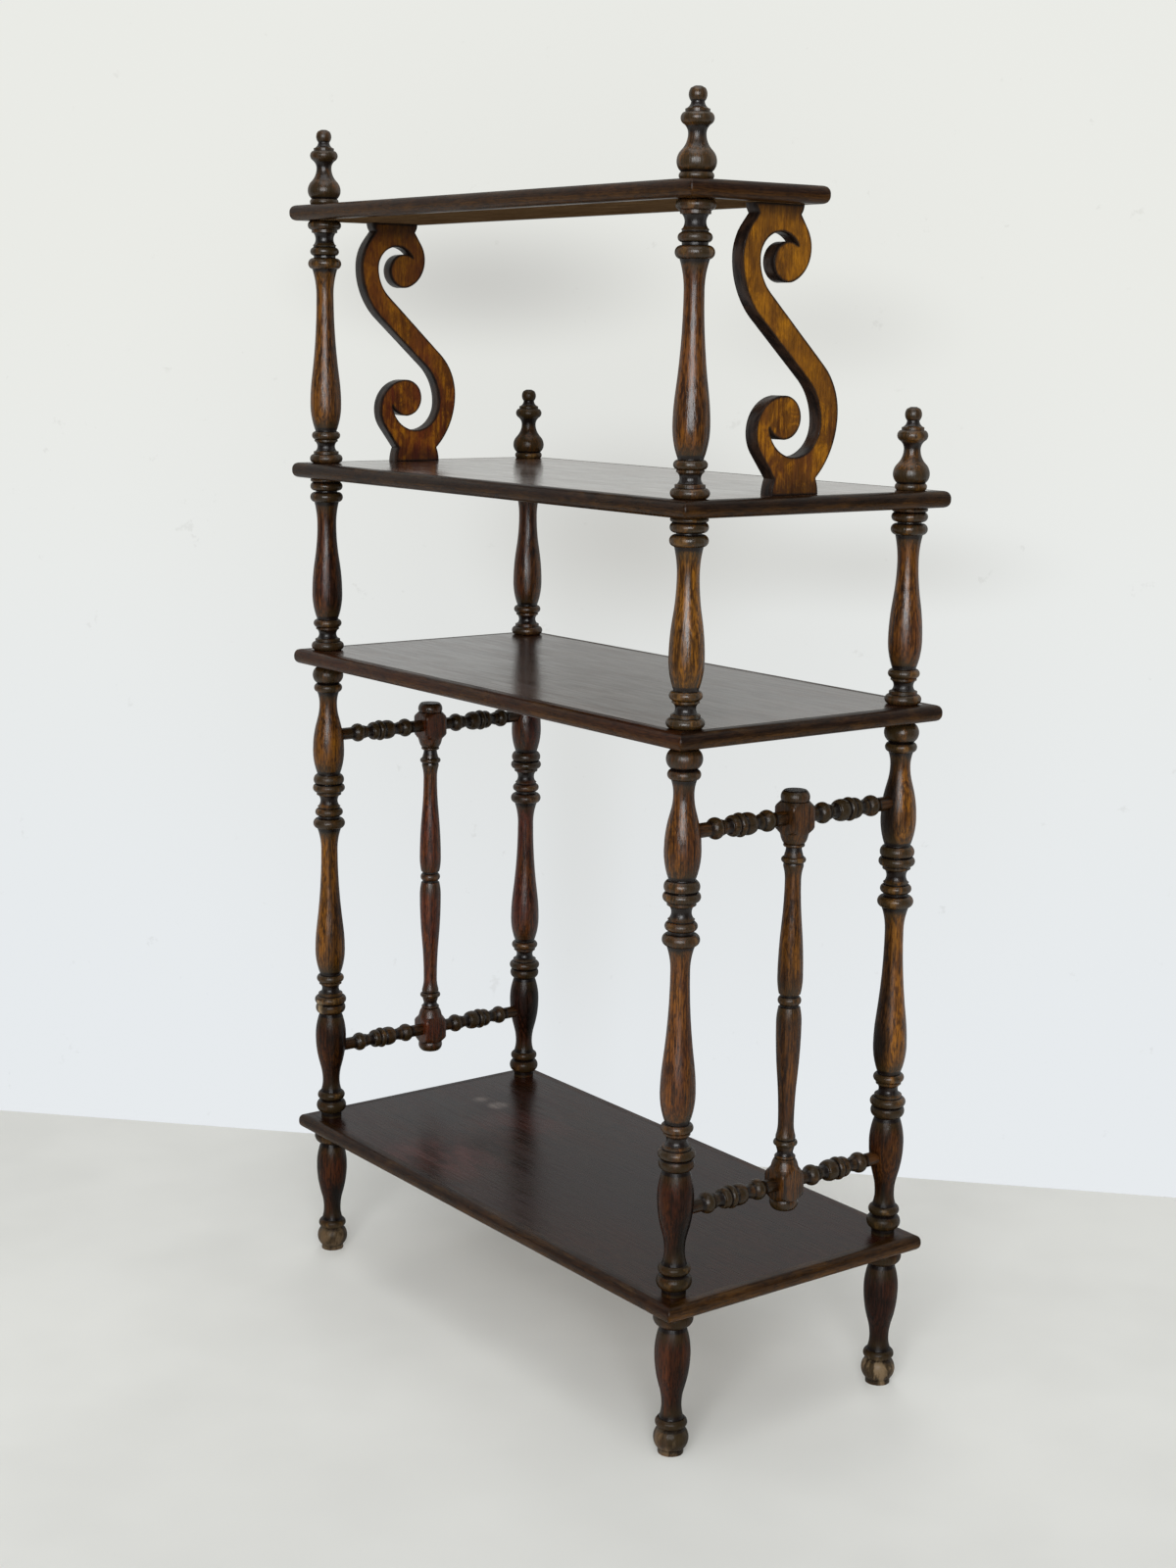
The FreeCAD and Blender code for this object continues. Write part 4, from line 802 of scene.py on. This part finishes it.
def inside(outline, spot):
    """True if a point lies inside the closed outline."""
    y, z = spot
    first, second = outline, np.roll(outline, -1, axis=0)
    spans = (first[:, 1] > z) != (second[:, 1] > z)
    rise = np.where(spans, second[:, 1] - first[:, 1], 1.0)
    cross = first[:, 0] + (z - first[:, 1]) / rise * (second[:, 0] - first[:, 0])
    return np.count_nonzero(spans & (cross > y)) % 2 == 1


def face_points(outline, inward, draw):
    """Points of a board's face and their distances from its outline: its edge, a ring beside
    the edge and a loose grid."""
    spots = [tuple(p) for p in outline + inward * RIM_CUT]
    rims = [RIM_CUT] * len(outline)
    ring = outline + inward * RIM_RING
    for p in ring[::2]:
        if np.hypot(*(outline - p).T).min() > RIM_RING * 0.8 and inside(outline, p):
            spots.append(tuple(p))
            rims.append(RIM_RING)
    for y in np.arange(outline[:, 0].min(), outline[:, 0].max(), FACE_GRID):
        for z in np.arange(outline[:, 1].min(), outline[:, 1].max(), FACE_GRID):
            p = np.array((y + draw.uniform(-1, 1) * GRID_STRAY,
                          z + draw.uniform(-1, 1) * GRID_STRAY))
            reach = np.hypot(*(outline - p).T).min()
            if reach > RIM_RING * 1.6 and inside(outline, p):
                spots.append(tuple(p))
                rims.append(reach)
    return spots, rims


def sawn_scroll(node, seed):
    """Scroll sawn from a board, with eased rims that hold dark stain and wavy sawn edges."""
    draw = random.Random(seed)
    low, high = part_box(node)
    outline, inward = divided(board_outline(node))
    face_edge = outline + inward * RIM_CUT
    count = len(outline)
    thick, middle = (high.x - low.x) / 2, (high.x + low.x) / 2
    spots, rims = face_points(outline, inward, draw)
    cut = delaunay_2d_cdt([Vector(p) for p in spots], [], [list(range(count))], 1, 1e-7)
    flat, triangles, sources = cut[0], cut[2], cut[3]
    shift = draw.uniform(0, 3)
    red = SCROLL_RED[node]
    vertices, faces = [], []
    values = {key: [] for key in ("grain", "rim", "sawn", "ochre", "red", "dark")}

    def add(x, y, z, rim, sawn):
        """Point of the scroll; rim is its distance from the outline."""
        vertices.append((middle + x, y, z))
        values["grain"].append((x + seed * 0.1, y, z + shift))
        values["rim"].append(rim * 1000.0)
        values["sawn"].append(sawn)
        rise = (z - low.z) / (high.z - low.z)
        values["ochre"].append(0.3 + 0.35 * smooth(rise, 0.2, 0.5) - red * 0.4)
        values["red"].append(red + 0.2 * smooth(0.5 - rise, -0.1, 0.3))
        # Painted shade: darker at the top and bottom ends, where the scroll meets the shelves.
        values["dark"].append(0.1 + 0.5 * smooth(abs(rise - 0.5), 0.42, 0.48))

    for way in (-1, 1):
        start = len(vertices)
        for p, source in zip(flat, sources):
            rim = rims[source[0]] if source else RIM_CUT
            add(way * thick, p.x, p.y, rim, 0.0)
        for triangle in triangles:
            face = [start + index for index in triangle]
            faces.append(face if way > 0 else face[::-1])
    levels = [-thick, -thick + RIM_CUT, -thick / 3, thick / 3, thick - RIM_CUT, thick]
    bands = len(vertices)
    for number, x in enumerate(levels):
        rounded = number in (0, len(levels) - 1)
        for index in range(count):
            y, z = face_edge[index] if rounded else outline[index]
            if not rounded:
                spot = Vector((x * WAVE_ACROSS, index * WAVE_ALONG, seed))
                give = SAW_WAVE * (0.5 + 0.5 * noise.noise(spot))
                y += inward[index][0] * give
                z = min(max(z + inward[index][1] * give, low.z), high.z)
            add(x, y, z, 0.0, 0.0 if rounded else 1.0)
    for number in range(len(levels) - 1):
        for index in range(count):
            after = (index + 1) % count
            here, there = bands + number * count, bands + (number + 1) * count
            faces.append((here + index, here + after, there + after, there + index))
    finish_piece("sawn_" + node, vertices, faces, SCROLL, node, values,
                 SCROLL_SHARP)


# Wood --------------------------------------------------------------------------------------
TURNED = turned_wood()
STRIP = strip_wood()
SCROLL = scroll_wood()
DOWEL = plain_wood()
SHELF_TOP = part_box("bottom_shelf_panel")[1].z
PATCH = linear(84, 46, 42)
SCUFF = linear(128, 116, 108)
MIDDLE_DARK_TINT = linear(26, 22, 24)
# Centre, radius, soft width, share and tint of each mark on the bottom shelf.
BOTTOM_PATCHES = (
    ((0.14, 0.11, SHELF_TOP), 0.02, 0.05, 0.6, PATCH),
    ((0.09, 0.10, SHELF_TOP), 0.01, 0.05, 0.5, PATCH),
    ((0.16, -0.02, SHELF_TOP), 0.02, 0.06, 0.35, PATCH),
    ((0.234, -0.043, SHELF_TOP), 0.004, 0.012, 0.8, SCUFF),
    ((0.264, -0.038, SHELF_TOP), 0.002, 0.010, 0.6, SCUFF),
    # A darker patch in the middle of the shelf.
    ((-0.05, 0.02, SHELF_TOP), 0.05, 0.12, 0.5, MIDDLE_DARK_TINT),
)
BOARDS = {
    "bottom": board_wood("bottom_board_wood", linear(13, 10, 10), linear(23, 17, 16),
                         0.27, 0.08, BOTTOM_PATCHES),
    "second": board_wood("second_board_wood", linear(36, 25, 21), linear(60, 43, 35),
                         0.22, 0.35),
    "third": board_wood("third_board_wood", linear(40, 28, 22), linear(74, 54, 43),
                        0.17, 0.85),
    "top": board_wood("top_board_wood", linear(36, 26, 21), linear(62, 46, 37),
                      0.26, 0.4),
}
PANEL_STAIN = {"ochre": 0.05, "red": 0.12, "dark": 0.1}


def dress(node, material, grain, stains):
    """Give a CAD piece its material and the attributes that the material reads."""
    mesh = nodes[node].data
    set_values(mesh, "grain", grain)
    for key, share in stains.items():
        set_values(mesh, key, share)
    mesh.materials.clear()
    mesh.materials.append(material)


def dress_panel(node, seed):
    """Panel with its grain along X."""
    points = points_of(node)
    grain = np.c_[points[:, 1], points[:, 2] + seed * 0.05, points[:, 0] + seed]
    dress(node, BOARDS[node.split("_")[0]], grain, PANEL_STAIN)


for index, node in enumerate(sorted(nodes)):
    if node.startswith(("foot_", "lower_", "middle_", "upper_", "finial_")):
        turned(node, 2, index)
    elif node.startswith("side_spindle"):
        turned(node, 2, index)
    elif node.startswith("stretcher"):
        turned(node, 1, index)
    elif "strip" in node:
        edge_strip(node, index)
    elif node.endswith("panel"):
        dress_panel(node, index)
    elif node == "scroll_dowels":
        dress(node, DOWEL, points_of(node), {})
    else:
        sawn_scroll(node, index)


# Floor, wall and light ---------------------------------------------------------------------
STAGE_ROUGH = 0.9


def stage_paint(name, paint, base, glow):
    """Pale paint that the camera and reflections see with some brightness of its own.  Where
    no base is given, the lamps fall on the same colour."""
    s = Shader(name)
    colour = paint(s)
    shade = s.node("BsdfPrincipled", {"Base Color": base or colour, "Roughness": STAGE_ROUGH,
                                      "Specular IOR Level": 0.0})
    path = s.node("LightPath")
    seen = s.math("MAXIMUM", path.outputs["Is Camera Ray"], path.outputs["Is Glossy Ray"])
    seen = s.math("MAXIMUM", seen, path.outputs["Is Transmission Ray"])
    light = s.node("Emission", {"Color": colour, "Strength": s.math("MULTIPLY", seen, glow)})
    both = s.node("AddShader", {0: shade.outputs[0], 1: light.outputs[0]})
    return s, both.outputs[0]


def stage_sheet(name, corners, material):
    """Flat sheet of the stage."""
    mesh = bpy.data.meshes.new(name)
    mesh.from_pydata(corners, [], [(0, 1, 2, 3)])
    mesh.materials.append(material)
    made = bpy.data.objects.new(name, mesh)
    scene.collection.objects.link(made)
    return made


WALL_START = Vector((0.988, 0.253, 0.0))
WALL_END = Vector((-0.144, -0.80, 0.0))
WALL_HEIGHT = Vector((0.0, 0.0, 4.0))
WALL_SHADE = linear(200, 200, 196)
WALL_STAIN = linear(150, 148, 140)
along_wall = (WALL_END - WALL_START).normalized()
left_end = WALL_START - along_wall * 6
right_end = WALL_START + along_wall * 8
# Soft shadows on the wall: distance along it, height, half width, half height and strength.
WALL_SHADES = (
    (0.80, 0.74, 0.46, 0.62, 0.3),
    (0.67, 1.10, 0.20, 0.07, 1.0),
    (1.08, 1.05, 0.13, 0.06, 0.4),
    (0.85, 0.80, 0.17, 0.11, 1.0),
    (1.12, 0.77, 0.20, 0.05, 0.55),
    (0.79, 0.42, 0.06, 0.32, 0.25),
)


def wall_colour(s):
    """White with soft shadows and a few faint stains."""
    place = s.node("TexCoord").outputs["Object"]
    height = s.node("SeparateXYZ", {"Vector": place}).outputs["Z"]
    tone = s.mix(s.remap(height, 0.1, 1.2), linear(228, 232, 235), linear(231, 232, 227))
    wall_turn = -math.atan2(along_wall.y, along_wall.x)
    for along, rise, wide, high, strength in WALL_SHADES:
        centre = WALL_START + along_wall * along + Vector((0, 0, rise))
        offset = s.node("VectorMath", {0: place, 1: centre}, operation="SUBTRACT").outputs[0]
        turned_offset = s.node("VectorRotate", {"Vector": offset, "Angle": wall_turn},
                               rotation_type="Z_AXIS").outputs[0]
        scaled = s.node("VectorMath", {0: turned_offset, 1: (1 / wide, 0.0, 1 / high)},
                        operation="MULTIPLY")
        reach = s.node("VectorMath", {0: scaled.outputs[0]}, operation="LENGTH")
        veil = s.remap(reach.outputs["Value"], 0.0, 1.5, strength, 0.0)
        tone = s.mix(veil, tone, WALL_SHADE)
    stain = s.remap(s.noise(place, 30.0, 4.0, 0.7), 0.66, 0.74, 0.0, 0.12)
    return s.mix(stain, tone, WALL_STAIN)


# Painted shade: the floor is darker below the window, and fades towards black between two
# distances from the object as a painted fall-off of light.
FLOOR_DARK = linear(168, 167, 163)
FLOOR_SHADE_SPOT = (-1.6, 1.3, 0.0)
FLOOR_SHADE_REACH = (0.3, 2.1)
FADE_REACH = (2.0, 4.0)
FADE = 0.5
FLOOR_HALF = 20


def floor_colour(s):
    """Pale grey with faint clouds, painted shade below the window and a painted fall-off of
    light far from the object.
    """
    place = s.node("TexCoord").outputs["Object"]
    cloud = s.noise(place, 3.0, 3.0, 0.55)
    tone = s.mix(s.remap(cloud, 0.3, 0.7), linear(216, 216, 211), linear(209, 209, 204))
    # Painted shade near the spot below the window.
    near = s.node("VectorMath", {0: place, 1: FLOOR_SHADE_SPOT}, operation="DISTANCE")
    tone = s.mix(s.remap(near.outputs["Value"], *FLOOR_SHADE_REACH, 1.0, 0.0), tone, FLOOR_DARK)
    # Painted fall-off of light: darker towards black far from the object.
    reach = s.node("VectorMath", {0: place}, operation="LENGTH").outputs["Value"]
    return s.mix(s.remap(reach, *FADE_REACH, 0.0, FADE), tone, (0.0, 0.0, 0.0))


WALL_BASE = linear(40, 40, 40)
s, lit = stage_paint("wall_paint", wall_colour, WALL_BASE, 1.0)
clear = s.node("BsdfTransparent")
behind = s.node("NewGeometry").outputs["Backfacing"]
shown = s.node("MixShader", {0: behind, 1: lit, 2: clear.outputs[0]})
s.feed(s.output.inputs["Surface"], shown.outputs[0])
wall = stage_sheet("wall", [left_end, right_end, right_end + WALL_HEIGHT,
                            left_end + WALL_HEIGHT], s.material)
wall.visible_diffuse = False
wall.visible_shadow = False
s, lit = stage_paint("floor_paint", floor_colour, None, 0.21)
s.feed(s.output.inputs["Surface"], lit)
floor_corners = [(x * FLOOR_HALF, y * FLOOR_HALF, 0)
                 for x, y in ((-1, -1), (1, -1), (1, 1), (-1, 1))]
stage_sheet("floor", floor_corners, s.material)

DAYLIGHT = (0.96, 0.98, 1.0)
WORLD_STRENGTH = 0.26
world = bpy.data.worlds.new("world")
scene.world = world
world.use_nodes = True
world.node_tree.nodes["Background"].inputs[0].default_value = (*DAYLIGHT, 1.0)
world.node_tree.nodes["Background"].inputs[1].default_value = WORLD_STRENGTH


def lamp(name, place, target, size, power, colour=(1.0, 1.0, 1.0), spread=180):
    """Area lamp at a place, turned towards a target; the spread is in degrees."""
    data = bpy.data.lights.new(name, "AREA")
    data.shape = "RECTANGLE"
    data.size, data.size_y = size
    data.energy = power
    data.color = colour
    data.spread = math.radians(spread)
    made = bpy.data.objects.new(name, data)
    made.location = place
    made.rotation_euler = (Vector(target) - Vector(place)).to_track_quat("-Z", "Y").to_euler()
    scene.collection.objects.link(made)


# A window of two panes behind the camera, and two wide lamps overhead.
WINDOW = Vector((-2.85, 2.52, 1.75))
WINDOW_SIDE = Vector((-0.66, -0.75, 0.0))
PANE_SIZE = (1.1, 2.3)
PANE_POWER = 27
PANE_SPREAD = 100
for pane, offset in (("left_pane", -0.6), ("right_pane", 0.6)):
    lamp(pane, WINDOW + WINDOW_SIDE * offset, (0, 0, 0.9), PANE_SIZE, PANE_POWER, DAYLIGHT,
         PANE_SPREAD)
lamp("ceiling", (-0.6, 0.5, 3.6), (0, 0, 0.5), (2.4, 2.4), 39)
lamp("back", (2.3, -1.7, 3.0), (0, 0, 0.6), (1.6, 1.6), 24)
